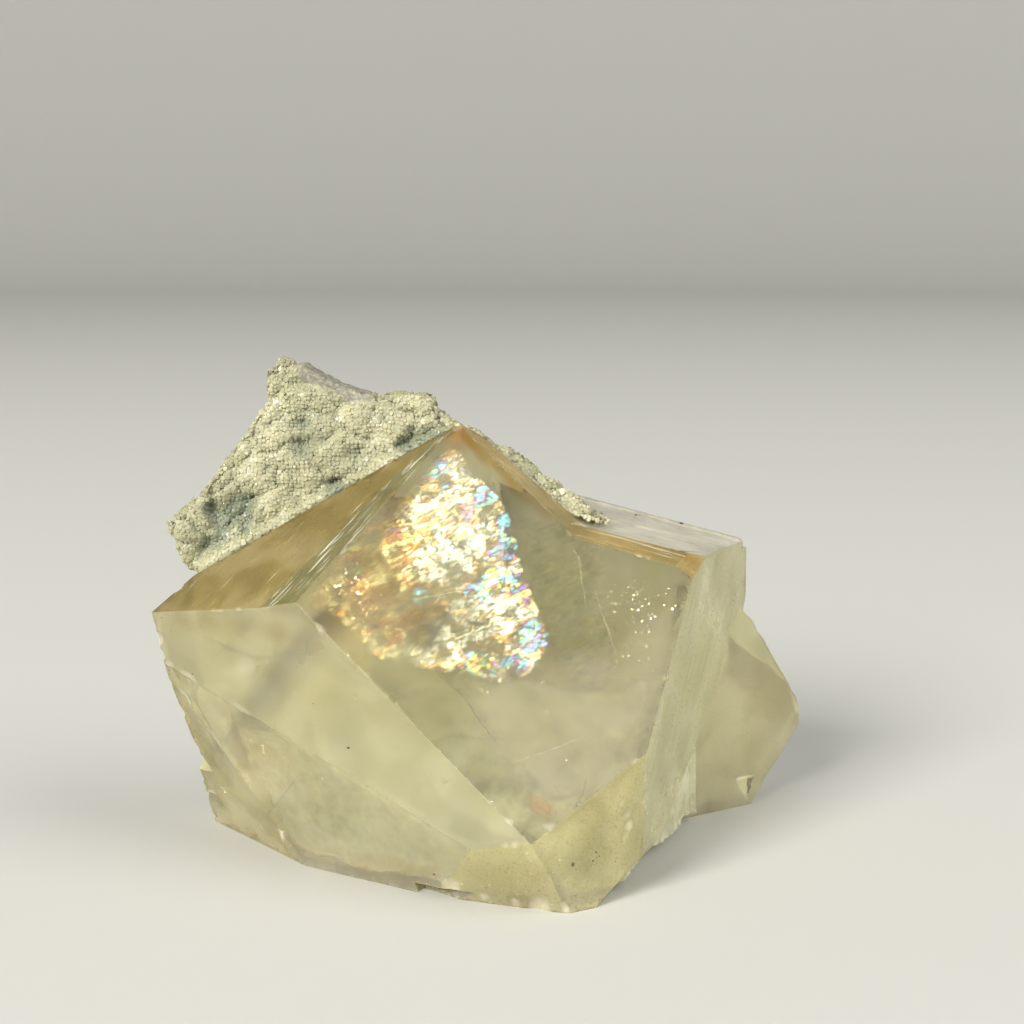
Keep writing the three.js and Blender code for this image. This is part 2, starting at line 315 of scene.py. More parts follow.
calciteLook = {
    "faceMatch": 4.0,        # degrees within which a face counts as one of the kinds above
    "edgeRound": 0.045,      # mm, how far the rounding of an edge reaches onto its faces
    "cornerRound": 0.45,     # how far a corner goes in, as a share of that
    "edgeFrost": 0.65,       # least roughness on a rounded edge
    "clean": 0.05,           # mm, points nearer than this are merged
    "flatWithin": 0.7,       # degrees, faces nearer to one plane than this are joined
    "chipSeed": 41,
    "chipEvery": 7.0,        # mm of sharp edge for each small chip
    "chipAngle": 22,         # degrees, edges that bend less than this don't chip
    "chipWidth": (0.25, 0.8),
    "chipDepth": (0.06, 0.22),
    "chipLean": 0.25,        # how far a chip may lean from the edge's own way out
    "chipDeepest": 0.4,      # most depth, as a share of the width
    "finest": 0.2,           # mm, least spacing of mesh points around a chip
    "fineAhead": 0.4,        # mm before a chip at which an edge is divided more finely
    "scoopRipple": 0.05,     # height of the rings in a scoop, as a share of its depth
    "scoopRough": 0.12,
    "reliefFrom": (0.05, 0.7),              # mm from its edges over which a face's relief sets in
    "lobeStart": (31.0, 8.0),               # the lobe is rounded where x and y are past these
    "lobeTop": (27, 30),                    # and z is below these
    "lobeRounds": 26,
    "lobeStep": 0.6,                        # share of the way to its neighbours, each round
    "lineStretch": 0.07,                    # the growth lines are this much finer across than along
    "cloudSize": 7.0,                       # mm
    "grainSize": 0.35,
    "lineSize": 0.5,
    "grainDepth": 0.03,                     # of the bumps, mm
    "lineDepth": 0.10,
    "chipFrost": 0.16,                      # roughness that a chip adds
    "chipDull": -0.14,                      # change in clearness in a chip and on a growth line
    "lineDull": -0.9,
    "ior": 1.6,
    "mirrorTint": (0.22, 0.22, 0.22, 1),    # weakens the glare of the big lamp on the flat faces
    "absorbColour": (0.86, 0.82, 0.30, 1),
    "absorbDensity": 11.0,
    "clearTint": (0.98, 0.95, 0.82, 1),
    "milkTint": (0.86, 0.82, 0.50, 1),
    "stoneTint": (0.86, 0.84, 0.60, 1),
    "shadeTint": (0.27, 0.28, 0.14, 1),
    "paleTint": (0.96, 0.94, 0.78, 1),
    # whitish film, and on the lobe faces partly painted light
    "filmAndLightTint": (0.97, 0.93, 0.84, 1),
    "stainTint": (0.80, 0.44, 0.09, 1),
    "grooveTint": (0.36, 0.34, 0.17, 1),
    "umberTint": (0.46, 0.34, 0.13, 1),
    "haze": -0.12,           # change in clearness near the ground
}


# Films, stains and cloudy patches on a face or just under it. The outline is x and z in mm, as seen
# from the front, and soft is how far in from the outline the patch takes to reach its full amount.
facePatches = [
    {"kinds": ("pale",), "soft": 2.0, "umber": 0.34,
     "outline": [(-41.7, 32.8), (-35.5, 32.5), (-29.0, 33.5), (-22.7, 32.5), (-17.8, 29.8), (-20.1, 28.1),
                 (-26.7, 28.9), (-32.1, 29.6), (-37.6, 28.9), (-41.0, 30.1)]},
    {"kinds": ("pale",), "soft": 1.2, "shade": 0.16,
     "outline": [(-30.1, 27.7), (-24.0, 30.4), (-18.8, 29.5), (-14.3, 25.6), (-17.3, 24.9), (-21.5, 26.7),
                 (-26.7, 27.4)]},
    {"kinds": ("pale",), "soft": 0.9, "bloom": 0.14,
     "outline": [(-36.8, 27.1), (-34.2, 28.0), (-30.1, 28.2), (-25.4, 27.5), (-20.2, 24.6),
                 (-15.1, 22.5), (-11.3, 20.1), (-5.1, 16.1), (1.8, 10.7), (1.5, 8.0), (-2.3, 7.5),
                 (-7.7, 9.0), (-13.9, 12.0), (-20.3, 15.3), (-28.2, 19.2), (-32.8, 20.9), (-35.5, 22.7)]},
    {"kinds": ("pale",), "soft": 1.4, "bloom": 0.7, "milk": 0.08,
     "outline": [(-33.3, 26.3), (-30.8, 27.7), (-29.2, 26.3), (-30.6, 24.1), (-32.8, 24.1)]},
    {"kinds": ("lower", "leftUnder"), "soft": 3.0, "milk": 0.12, "gold": 0.12,
     "outline": [(-35.7, 20.7), (-29.3, 19.3), (-25.5, 14.4), (-24.7, 9.1), (-30.3, 6.7), (-35.2, 6.1),
                 (-36.7, 10.7)]},
    {"kinds": ("lower", "leftUnder"), "soft": 2.0, "gold": 0.2,
     "outline": [(-34.6, 20.6), (-24.3, 16.0), (-24.1, 10.4), (-31.9, 6.5), (-35.7, 9.2)]},
    {"kinds": ("lower",), "soft": 2.5, "shade": 0.12,
     "outline": [(-25.7, 10.0), (-19.1, 13.2), (-13.2, 10.0), (-15.2, 6.1), (-22.1, 5.6), (-26.5, 6.9)]},
    {"kinds": ("lower", "leftUnder"), "soft": 0.3, "milk": 0.5, "bloom": 0.8,
     "outline": [(-27.9, 4.2), (-27.2, 4.6), (-26.6, 3.4), (-27.2, 2.4), (-27.8, 2.9)]},
    {"kinds": ("window",), "soft": 3.2, "gold": 0.42, "umber": 0.28, "milk": 0.1,
     "outline": [(-25.0, 35.5), (-20.0, 40.5), (-12.0, 37.0), (-8.0, 32.0), (-12.0, 27.5), (-18.0, 27.5),
                 (-22.0, 31.0)]},
    {"kinds": ("window",), "soft": 0.9, "gold": 0.95, "umber": 0.5, "milk": 0.06,
     "outline": [(-4.0, 57.0), (0.5, 54.0), (6.0, 48.5), (9.4, 44.6), (6.6, 43.2), (3.6, 45.2), (0.6, 48.0),
                 (-2.2, 50.6), (-5.6, 53.0)]},
    {"kinds": ("window",), "soft": 4.0, "milk": 0.09, "gold": 0.12,
     "outline": [(-6.0, 24.0), (2.0, 29.0), (14.0, 31.0), (24.0, 36.0), (22.0, 20.0), (17.0, 12.0),
                 (8.0, 8.5), (1.0, 14.0)]},
    {"kinds": ("lower", "leftUnder"), "soft": 1.0, "gold": 0.2, "umber": 0.12,
     "outline": [(-34.0, 4.0), (-20.0, 4.2), (-6.0, 5.0), (-6.0, 0.0), (-34.0, 0.0)]},
]


def calcitePolygons():
    # the flat faces of the solid, as a bmesh in millimetres
    solid = bmesh.new()
    solid.from_mesh(frame["nodes"]["calcite"].data)
    bmesh.ops.scale(solid, vec=(1 / mm,) * 3, verts=solid.verts)
    bmesh.ops.remove_doubles(solid, verts=solid.verts, dist=calciteLook["clean"])
    bmesh.ops.dissolve_limit(solid, angle_limit=math.radians(calciteLook["flatWithin"]), verts=solid.verts,
                             edges=solid.edges)
    solid.normal_update()
    solid.verts.index_update()
    return solid


def kindOf(normal):
    best, name = math.cos(math.radians(calciteLook["faceMatch"])), "broken"
    for key, kind in crystalFaces.items():
        if kind["facing"] is None:
            continue
        match = float(np.dot(facing(*kind["facing"]), normal))
        if match > best:
            best, name = match, key
    return name


def edgeFacts(edge):
    # outward direction of an edge and how sharply it bends, in radians
    normals = [np.array(f.normal) for f in edge.link_faces]
    out = sum(normals)
    bend = math.acos(max(-1.0, min(1.0, float(normals[0] @ normals[1]))))
    return out / np.linalg.norm(out), bend


def scatterChips(solid):
    # small chips at random along the sharp edges: middle, outward direction, width, depth
    look = calciteLook
    rng = np.random.default_rng(look["chipSeed"])
    chips = []
    for edge in solid.edges:
        out, bend = edgeFacts(edge)
        if not edge.is_convex or bend < math.radians(look["chipAngle"]):
            continue
        if any(kindOf(np.array(f.normal)) == "ground" for f in edge.link_faces):
            continue
        a, b = (np.array(v.co) for v in edge.verts)
        for _ in range(rng.poisson(np.linalg.norm(b - a) / look["chipEvery"])):
            middle = a + (b - a) * rng.uniform(0.05, 0.95)
            lean = out + rng.normal(0, look["chipLean"], 3)
            width = rng.uniform(*look["chipWidth"])
            depth = min(rng.uniform(*look["chipDepth"]), width * look["chipDeepest"])
            chips.append((middle, lean / np.linalg.norm(lean), width, depth))
    return chips


def placeBreaks(solid, chips):
    # each listed break leans out the way that the surface around it faces, leaving out the underside
    tree = BVHTree.FromBMesh(solid)
    around = np.concatenate([np.zeros((1, 3)), np.eye(3), -np.eye(3)]) * 0.6
    for middle, width, depth in conchoidalBreaks:
        out = np.zeros(3)
        for offset in around * width:
            normal = np.array(tree.find_nearest(Vector(np.array(middle) + offset))[1])
            out += normal * (normal[2] > -0.9)
        spot = np.array(tree.find_nearest(Vector(middle))[0])
        chips.append((spot, out / np.linalg.norm(out), width, depth))
    return chips


def gapToOutline(points, outline):
    # distance of flat points to the nearest side of a closed outline, and whether inside
    gap = np.full(len(points), 1e9)
    inside = np.zeros(len(points), bool)
    for a, b in zip(outline, np.roll(outline, -1, axis=0)):
        side = b - a
        length = max(float(side @ side), 1e-12)
        share = np.clip(((points - a) @ side) / length, 0, 1)
        gap = np.minimum(gap, np.linalg.norm(points - (a + share[:, None] * side), axis=1))
        crosses = (a[1] > points[:, 1]) != (b[1] > points[:, 1])
        with np.errstate(divide="ignore", invalid="ignore"):
            at = a[0] + (points[:, 1] - a[1]) * side[0] / (b[1] - a[1])
        inside ^= crosses & (points[:, 0] < at)
    return gap, inside


scatterLook = {              # all as shares of the spacing of the mesh points
    "stray": 0.16,           # most that a point strays from the even pattern
    "clearOfRows": 0.45,     # least gap between the scatter and the rows along the sides
    "clearOfDense": 0.5,     # and between it and a denser spot
    "denseApart": 0.7,       # least gap between two denser spots
    "denseInset": 0.4,
}


def triangleGrid(low, high, spacing, rng):
    rows = np.arange(low[1], high[1] + spacing, spacing * math.sqrt(3) / 2)
    columns = np.arange(low[0], high[0] + spacing, spacing)
    gridX, gridY = np.meshgrid(columns, rows)
    gridX = gridX + (np.arange(len(rows)) % 2)[:, None] * spacing / 2
    points = np.stack([gridX.ravel(), gridY.ravel()], axis=1)
    return points + rng.uniform(-scatterLook["stray"], scatterLook["stray"], points.shape) * spacing


def fillFace(outline, spacing, inset, spots, seed):
    # points strictly inside a flat outline: an even scatter, denser spots, and rows near the sides
    rng = np.random.default_rng(seed)
    scatter = triangleGrid(outline.min(0), outline.max(0), spacing, rng)
    gap, inside = gapToOutline(scatter, outline)
    keep = inside & (gap > inset + spacing * scatterLook["clearOfRows"])
    dense = []
    for middle, reach, fine in spots:
        patch = triangleGrid(middle - reach, middle + reach, fine, rng)
        patch = patch[np.linalg.norm(patch - middle, axis=1) < reach]
        for other, otherReach, otherFine in spots:
            if otherFine < fine:
                patch = patch[np.linalg.norm(patch - other, axis=1) > otherReach]
        for already in dense:
            if len(patch) and len(already):
                apart = np.linalg.norm(patch[:, None] - already[None], axis=2).min(1)
                patch = patch[apart > fine * scatterLook["denseApart"]]
        if len(patch):
            patchGap, patchInside = gapToOutline(patch, outline)
            dense.append(patch[patchInside & (patchGap > inset + fine * scatterLook["denseInset"])])
        away = np.linalg.norm(scatter - middle, axis=1)
        keep &= away > reach + fine * scatterLook["clearOfDense"]
    rows = []
    for a, b in zip(outline, np.roll(outline, -1, axis=0)):
        side = b - a
        length = float(np.linalg.norm(side))
        if length > 2 * inset:
            count = max(1, round(length / spacing))
            along = (np.arange(count) + 0.5) / count
            rows.append(a + along[:, None] * side + np.array([-side[1], side[0]]) / length * inset)
    rows = np.concatenate(rows) if rows else np.zeros((0, 2))
    rowGap, rowInside = gapToOutline(rows, outline)
    return np.concatenate([scatter[keep], rows[rowInside & (rowGap > inset * 0.85)], *dense])


def striations(points, way, size, seed):
    # ridges that run along way: noise drawn out along it
    way = np.array(way) / np.linalg.norm(way)
    squeezed = points + np.outer(points @ way, way) * (0.06 - 1)
    return cloudNoise(squeezed, size, seed, 3)


def terraces(points, size, seed, steps):
    # noise cut into flat steps with short risers between them
    level = (cloudNoise(points, size, seed, 2) * 0.5 + 0.5) * steps
    low = np.floor(level)
    return (low + fade(level - low, 0.38, 0.62)) / steps


# Relief of each kind of face, mm, all of it kept below the flat face by the base. Every layer starts
# with its height, size and seed. Clouds end with the number of octaves, ridges with the way they run
# and steps with how many there are. Steps may be drawn out, start at an x, and be rough. The bow is
# a row of shallow waves across the growth lines, and pits are round, each a little deeper by chance.
reliefs = {
    "window": {"base": -0.004, "clouds": [(0.014, 7.0, 3, 3)]},
    "pale": {"base": -0.1, "clouds": [(0.11, 8.0, 5, 2), (0.012, 1.6, 6, 1)]},
    "tan": {"base": -0.07, "ridges": (0.04, 2.4, 9, (12, 10, 15)), "clouds": [(0.05, 6.0, 8, 1)]},
    "step": {"base": -0.06, "ridges": (0.07, 0.9, 11, crystalFaces["step"]["linesWay"])},
    "ridge": {"base": -0.05, "ridges": (0.06, 0.9, 13, crystalFaces["ridge"]["linesWay"])},
    "ledgeTop": {"steps": (0.5, 4.5, 18, 3), "drawnOut": (0.35, 1.0, 1.0), "stepsFrom": (8, 12)},
    "striated": {"base": -0.21, "ridges": (0.03, 1.2, 21, crystalFaces["striated"]["linesWay"]),
                 "clouds": [(0.03, 0.9, 23, 1)], "bow": {"height": 0.16, "turn": 0.42, "start": 0.5}},
    "toe": {"base": -0.122, "clouds": [(0.1, 3.2, 29, 1)], "pits": (0.12, 1.5, 27, 0.07)},
    "lower": {"base": -0.14, "clouds": [(0.12, 6.5, 31, 2), (0.02, 1.5, 36, 2)], "steps": (0.5, 4.4, 35, 3),
              "stepsFrom": (-22, -30), "stepsRough": (0.06, 0.9, 37)},
    "lobe": {"base": -0.1, "clouds": [(0.1, 6.0, 41, 2)]},
    "ground": {},
    "broken": {"base": -0.03, "clouds": [(0.03, 1.1, 45, 1)], "steps": (0.16, 3.6, 43, 3)},
}
sameRelief = {"ledgeBevel": "ridge", "toeFront": "toe", "leftUnder": "lower", "lobeUpper": "lobe",
              "lobeLower": "lobe"}


def relief(kind, points):
    # how far the surface stands out from the flat face
    layers = reliefs.get(sameRelief.get(kind, kind), reliefs["broken"])
    out = np.full(len(points), layers.get("base", 0.0))
    for height, size, seed, octaves in layers.get("clouds", []):
        out += height * cloudNoise(points, size, seed, octaves)
    if "ridges" in layers:
        height, size, seed, way = layers["ridges"]
        out += height * striations(points, way, size, seed)
    if "steps" in layers:
        height, size, seed, count = layers["steps"]
        steps = height * (terraces(points * layers.get("drawnOut", (1, 1, 1)), size, seed, count) - 1)
        if "stepsRough" in layers:
            height, size, seed = layers["stepsRough"]
            steps += height * smoothNoise(points, size, seed)
        if "stepsFrom" in layers:
            steps *= fade(points[:, 0], *layers["stepsFrom"])
        out += steps
    if "pits" in layers:
        height, size, seed, deeper = layers["pits"]
        near, _, number = cellNoise(points, size, seed)
        out += height * np.minimum(near, 0.6) - deeper * number
    if "bow" in layers:
        bow, way = layers["bow"], layers["ridges"][3]
        across = points @ np.cross(facing(*crystalFaces[kind]["facing"]), way) / np.linalg.norm(way)
        out += bow["height"] * np.abs(np.sin(across * bow["turn"] + bow["start"]))
    return out


def triangulated(flat, rimCount):
    # triangles over flat points, all the same way up; the first rimCount points run round the outline
    rim = [(i, (i + 1) % rimCount) for i in range(rimCount)]
    points, _, cells, origins, _, _ = delaunay_2d_cdt([Vector(p) for p in flat], rim, [], 1, 1e-7)
    triangles = []
    for a, b, c in cells:
        turned = (points[b] - points[a]).cross(points[c] - points[a]) < 0
        triangles.append(tuple(origins[i][0] for i in ((a, c, b) if turned else (a, b, c))))
    return triangles


def divideEdges(solid, faceKinds, spots):
    # the corners and points along every edge, their numbers along each edge, and how far each point
    # is pushed to round the edge
    look = calciteLook
    vertices = [np.array(v.co) for v in solid.verts]
    onSide, push = {}, {}
    for edge in solid.edges:
        spacing = min(crystalFaces[faceKinds[f]]["spacing"] for f in edge.link_faces)
        a, b = (vertices[v.index] for v in edge.verts)
        length = float(np.linalg.norm(b - a))
        marks, at = [0.0], 0.0
        while at < length:
            here = a + (b - a) * at / length
            fine = [s for middle, reach, s in spots
                    if np.linalg.norm(here - middle) < reach + look["fineAhead"]]
            at += min([spacing] + fine)
            marks.append(at)
        out, bend = edgeFacts(edge)
        move = -out * look["edgeRound"] * math.tan(bend / 4) * (1 if edge.is_convex else -1)
        numbers = [edge.verts[0].index]
        for mark in marks[1:-1]:
            numbers.append(len(vertices))
            push[len(vertices)] = move
            vertices.append(a + (b - a) * mark / marks[-1])
        onSide[edge] = numbers + [edge.verts[1].index]
    for v in solid.verts:
        out = sum(np.array(f.normal) for f in v.link_faces)
        push[v.index] = -out / np.linalg.norm(out) * look["edgeRound"] * look["cornerRound"]
    return vertices, onSide, push


def meshFace(face, kind, seed, vertices, onSide, spots):
    # adds the points inside a flat face to vertices; gives its triangles and the lift of those points
    look = calciteLook
    normal, start = np.array(face.normal), np.array(face.verts[0].co)
    along = np.cross(normal, [0, 0, 1] if abs(normal[2]) < 0.9 else [0, 1, 0])
    along /= np.linalg.norm(along)
    axes = np.stack([along, np.cross(normal, along)], axis=1)
    loop = []
    for corner in face.loops:
        numbers = onSide[corner.edge]
        loop += numbers[:-1] if numbers[0] == corner.vert.index else numbers[:0:-1]
    flat = (np.array([vertices[n] for n in loop]) - start) @ axes
    outline = (np.array([np.array(c.vert.co) for c in face.loops]) - start) @ axes
    near = []
    for middle, reach, fine in spots:
        above = (middle - start) @ normal
        if abs(above) < reach * 0.8:
            near.append(((middle - start) @ axes, math.sqrt(reach ** 2 - above ** 2), fine))
    filling = fillFace(outline, crystalFaces[kind]["spacing"], look["edgeRound"], near, seed)
    inner = start + filling @ axes.T
    gap, _ = gapToOutline(filling, outline)
    lift = relief(kind, inner) * fade(gap, *look["reliefFrom"])
    numbers = loop + list(range(len(vertices), len(vertices) + len(filling)))
    vertices += list(inner)
    triangles = triangulated(np.concatenate([flat, filling]), len(loop))
    return [tuple(numbers[i] for i in t) for t in triangles], np.outer(lift, normal)


def buildCalciteMesh():
    look = calciteLook
    solid = calcitePolygons()
    chips = placeBreaks(solid, scatterChips(solid))
    spots = [(middle, width * 1.35, max(look["finest"], width / 7)) for middle, _, width, _ in chips]
    faceKinds = {f: kindOf(np.array(f.normal)) for f in solid.faces}
    vertices, onSide, push = divideEdges(solid, faceKinds, spots)
    edgeCount = len(vertices)
    names = list(crystalFaces)
    triangles, kinds, lifts = [], [], []
    for seed, face in enumerate(solid.faces):
        own, lift = meshFace(face, faceKinds[face], seed, vertices, onSide, spots)
        triangles += own
        kinds += [names.index(faceKinds[face])] * len(own)
        lifts.append(lift)
    solid.free()
    vertices = np.array(vertices)
    vertices[:edgeCount] += np.array([push[i] for i in range(edgeCount)])
    vertices[edgeCount:] += np.concatenate(lifts)
    onEdge = np.arange(len(vertices)) < edgeCount
    return vertices, np.array(triangles), np.array(kinds), onEdge, chips


def scoopOut(vertices, chips):
    # cuts every chip and break out as part of a ball, and tells how much each point moved
    look = calciteLook
    moved = np.zeros(len(vertices))
    for middle, out, width, depth in chips:
        radius = (width ** 2 + depth ** 2) / (2 * depth)
        centre = middle + out * (radius - depth)
        near = np.where(np.linalg.norm(vertices - middle, axis=1) < width * 1.6)[0]
        offset = vertices[near] - centre
        away = np.linalg.norm(offset, axis=1)
        rings = np.sin(np.linalg.norm(vertices[near] - middle, axis=1) * 9 / width)
        rough = smoothNoise(vertices[near], width * 0.5, 51)
        wanted = radius + depth * (look["scoopRipple"] * rings + look["scoopRough"] * rough)
        inside = away < wanted
        new = centre + offset / away[:, None] * wanted[:, None]
        step = np.linalg.norm(new - vertices[near], axis=1) * inside
        vertices[near[inside]] = new[inside]
        moved[near] = np.maximum(moved[near], step)
    return moved


def softenLobe(vertices, triangles):
    # rounds off the corners of the lobe, by moving each point towards its neighbours
    edges = np.concatenate([triangles[:, [0, 1]], triangles[:, [1, 2]], triangles[:, [2, 0]]])
    count = np.maximum(np.bincount(edges[:, 0], minlength=len(vertices)), 1)
    startX, startY = calciteLook["lobeStart"]
    share = fade(vertices[:, 0], startX - 3, startX + 3)
    share *= fade(vertices[:, 1], startY - 3, startY + 2)
    share *= 1 - fade(vertices[:, 2], *calciteLook["lobeTop"])
    share *= fade(vertices[:, 2], 0.02, 0.6)
    for _ in range(calciteLook["lobeRounds"]):
        total = [np.bincount(edges[:, 0], vertices[edges[:, 1], axis], len(vertices)) for axis in range(3)]
        mean = np.stack(total, axis=1) / count[:, None]
        vertices += (mean - vertices) * (calciteLook["lobeStep"] * share)[:, None]


ironLook = {
    "apex": (-4.9, 1.2, 55.2),
    "reach": (0.8, 5.2),     # mm from the apex over which its own stain fades
    "apexAmount": 0.9,
    "paleHeight": (22, 33),  # where the stain of the pale face sets in
    "ridgeHeight": (38, 52),
    "amounts": {"ridge": 0.95, "ledgeBevel": 0.85, "noseFacet": 0.75, "tan": 0.4, "step": 0.2,
                "leftUnder": 0.16, "lobe": 0.14, "lobeUpper": 0.14, "lobeLower": 0.14, "toe": 0.14,
                "toeFront": 0.16, "pale": 0.16},
}


def ironStain(vertices, kindNames, pointKinds):
    # honey and rust colour, 0 to 1: strongest at the peak and down the ridge
    apex = np.array(ironLook["apex"])
    away = np.linalg.norm(vertices - apex, axis=1)
    stain = ironLook["apexAmount"] * (1 - fade(away, *ironLook["reach"]))
    for name, amount in ironLook["amounts"].items():
        here = pointKinds == kindNames.index(name)
        stain[here] = np.maximum(stain[here], amount)
    high = fade(vertices[:, 2], *ironLook["paleHeight"]) * (0.6 + 0.4 * smoothNoise(vertices, 3.0, 65))
    stain = np.where(pointKinds == kindNames.index("pale"), stain * high, stain)
    high = 0.85 + 0.15 * fade(vertices[:, 2], *ironLook["ridgeHeight"])
    stain = np.where(pointKinds == kindNames.index("ridge"), stain * high, stain)
    return np.clip(stain * (0.75 + 0.5 * cloudNoise(vertices, 5.0, 61)), 0, 1)


def patchAmounts(vertices, pointKinds):
    # how strongly each kind of patch shows at every point
    amounts = {name: np.zeros(len(vertices)) for name in ("umber", "shade", "bloom", "milk", "gold")}
    names = list(crystalFaces)
    wander = np.stack([smoothNoise(vertices, 2.4, seed) for seed in (67, 68)], axis=1)
    flat = vertices[:, [0, 2]] + 0.5 * wander
    for patch in facePatches:
        gap, inside = gapToOutline(flat, np.array(patch["outline"]))
        here = inside & np.isin(pointKinds, [names.index(kind) for kind in patch["kinds"]])
        strength = fade(gap, 0, patch["soft"]) * here * (0.8 + 0.4 * cloudNoise(vertices, 4.0, 69))
        for name in amounts:
            amounts[name] = np.maximum(amounts[name], strength * patch.get(name, 0))
    return amounts


def makeCalcite():
    vertices, triangles, kinds, onEdge, chips = buildCalciteMesh()
    softenLobe(vertices, triangles)
    moved = scoopOut(vertices, chips)
    vertices[:, 2] = np.maximum(vertices[:, 2], 0)
    piece = makeObject("calciteCrystals", vertices, [tuple(int(i) for i in t) for t in triangles])
    for name in ("frost", "clear", "tone", "bloom", "umber", "shade", "lines", "mottle"):
        amounts = np.array([kind.get(name, 0.0) for kind in crystalFaces.values()])[kinds]
        setAttribute(piece.data, name, "FACE", amounts)
    # line space: the first coordinate runs along the growth lines of each corner's own face
    corners = vertices[triangles]
    ways = np.array([kind.get("linesWay", (1, 0, 0)) for kind in crystalFaces.values()], float)
    ways = (ways / np.linalg.norm(ways, axis=1)[:, None])[kinds]
    along = np.einsum("ijk,ik->ij", corners, ways)
    squeezed = corners + along[:, :, None] * ways[:, None] * (calciteLook["lineStretch"] - 1)
    layer = piece.data.attributes.new("lineSpace", "FLOAT_VECTOR", "CORNER")
    layer.data.foreach_set("vector", squeezed.astype(np.float32).ravel())
    setAttribute(piece.data, "chip", "POINT", fade(moved, 0.02, 0.2))
    setAttribute(piece.data, "edge", "POINT", onEdge)
    low = 1 - fade(vertices[:, 2] + 1.2 * smoothNoise(vertices, 4.0, 63), 0.5, 6.0)
    setAttribute(piece.data, "haze", "POINT", low)
    pointKinds = np.zeros(len(vertices), int)
    for column in range(3):
        pointKinds[triangles[:, column]] = kinds
    patches = patchAmounts(vertices, pointKinds)
    for name in ("umber", "shade", "bloom", "milk"):
        setAttribute(piece.data, name + "Patch", "POINT", patches[name])
    stain = ironStain(vertices, list(crystalFaces), pointKinds)
    setAttribute(piece.data, "stain", "POINT", np.maximum(stain, patches["gold"]))
    return piece


class Wiring:
    # a node tree, with short ways to add nodes and join them
    def __init__(self, tree):
        self.tree = tree

    def add(self, kind, inputs=None, **settings):
        node = self.tree.nodes.new(kind)
        for key, value in settings.items():
            setattr(node, key, value)
        return self.feed(node, inputs or {})

    def join(self, source, target):
        self.tree.links.new(source, target)

    def feed(self, node, values):
        # a plain value is set on the socket, and an output is linked to it
        for key, value in values.items():
            if isinstance(value, bpy.types.NodeSocket):
                self.join(value, node.inputs[key])
            else:
                node.inputs[key].default_value = value
        return node


class Board(Wiring):
    # a material, where most short ways give back the output to use next
    def __init__(self, name):
        self.material = bpy.data.materials.new(name)
        self.material.use_nodes = True
        super().__init__(self.material.node_tree)
        self.tree.nodes.clear()
        self.out = self.add("ShaderNodeOutputMaterial")

    def attribute(self, name, output="Fac"):
        return self.add("ShaderNodeAttribute", attribute_name=name).outputs[output]

    def math(self, operation, a, b=0.0, c=0.0, clamp=False):
        return self.add("ShaderNodeMath", {0: a, 1: b, 2: c}, operation=operation, use_clamp=clamp).outputs[0]

    def times(self, a, b):
        return self.math("MULTIPLY", a, b)

    def addTimes(self, a, b, rest, clamp=False):
        # a times b, added to rest
        return self.math("MULTIPLY_ADD", a, b, rest, clamp)

    def spread(self, value, low, high, toLow=0.0, toHigh=1.0):
        # from toLow at low to toHigh at high, smooth between them
        values = {0: value, 1: low, 2: high, 3: toLow, 4: toHigh}
        return self.add("ShaderNodeMapRange", values, interpolation_type="SMOOTHSTEP").outputs[0]

    def mix(self, share, a, b, blend="MIX"):
        values = {0: share, 6: a, 7: b}
        return self.add("ShaderNodeMix", values, data_type="RGBA", blend_type=blend).outputs[2]

    def place(self):
        # object coordinates in millimetres
        values = {"Vector": self.add("ShaderNodeTexCoord").outputs["Object"], "Scale": (mm, mm, mm)}
        return self.add("ShaderNodeMapping", values, vector_type="TEXTURE").outputs[0]

    def stretched(self, lean, stretch):
        # the plane of a sealed sheet in mm, and the same turned by lean degrees and drawn out that way
        values = {0: self.attribute("across"), 1: self.attribute("rise")}
        plane = self.add("ShaderNodeCombineXYZ", values).outputs[0]
        values = {"Vector": plane, "Rotation": (0, 0, math.radians(lean)), "Scale": (stretch, 1, 1)}
        return plane, self.add("ShaderNodeMapping", values, vector_type="TEXTURE").outputs[0]

    def noise(self, vector, size, detail=3.0, rough=0.55):
        values = {"Vector": vector, "Scale": 1 / size, "Detail": detail, "Roughness": rough}
        return self.add("ShaderNodeTexNoise", values).outputs["Fac"]

    def cells(self, vector, size):
        # a random number for each cell, and the distance to the edge between cells
        where = {"Vector": vector, "Scale": 1 / size}
        number = self.add("ShaderNodeTexVoronoi", where).outputs["Color"]
        edge = self.add("ShaderNodeTexVoronoi", where, feature="DISTANCE_TO_EDGE").outputs["Distance"]
        return self.add("ShaderNodeSeparateXYZ", {0: number}).outputs[0], edge

    def bump(self, height, depth, strength, normal=None):
        values = {"Height": height, "Distance": depth * mm, "Strength": strength}
        if normal is not None:
            values["Normal"] = normal
        return self.add("ShaderNodeBump", values).outputs[0]

    def finish(self, values, solid=None):
        # solid, where given, is the share of the surface that isn't simply a gap
        surface = self.add("ShaderNodeBsdfPrincipled", values).outputs["BSDF"]
        if solid is not None:
            gap = self.add("ShaderNodeBsdfTransparent").outputs[0]
            surface = self.add("ShaderNodeMixShader", {0: solid, 1: gap, 2: surface}).outputs[0]
        self.join(surface, self.out.inputs["Surface"])
        return self.material


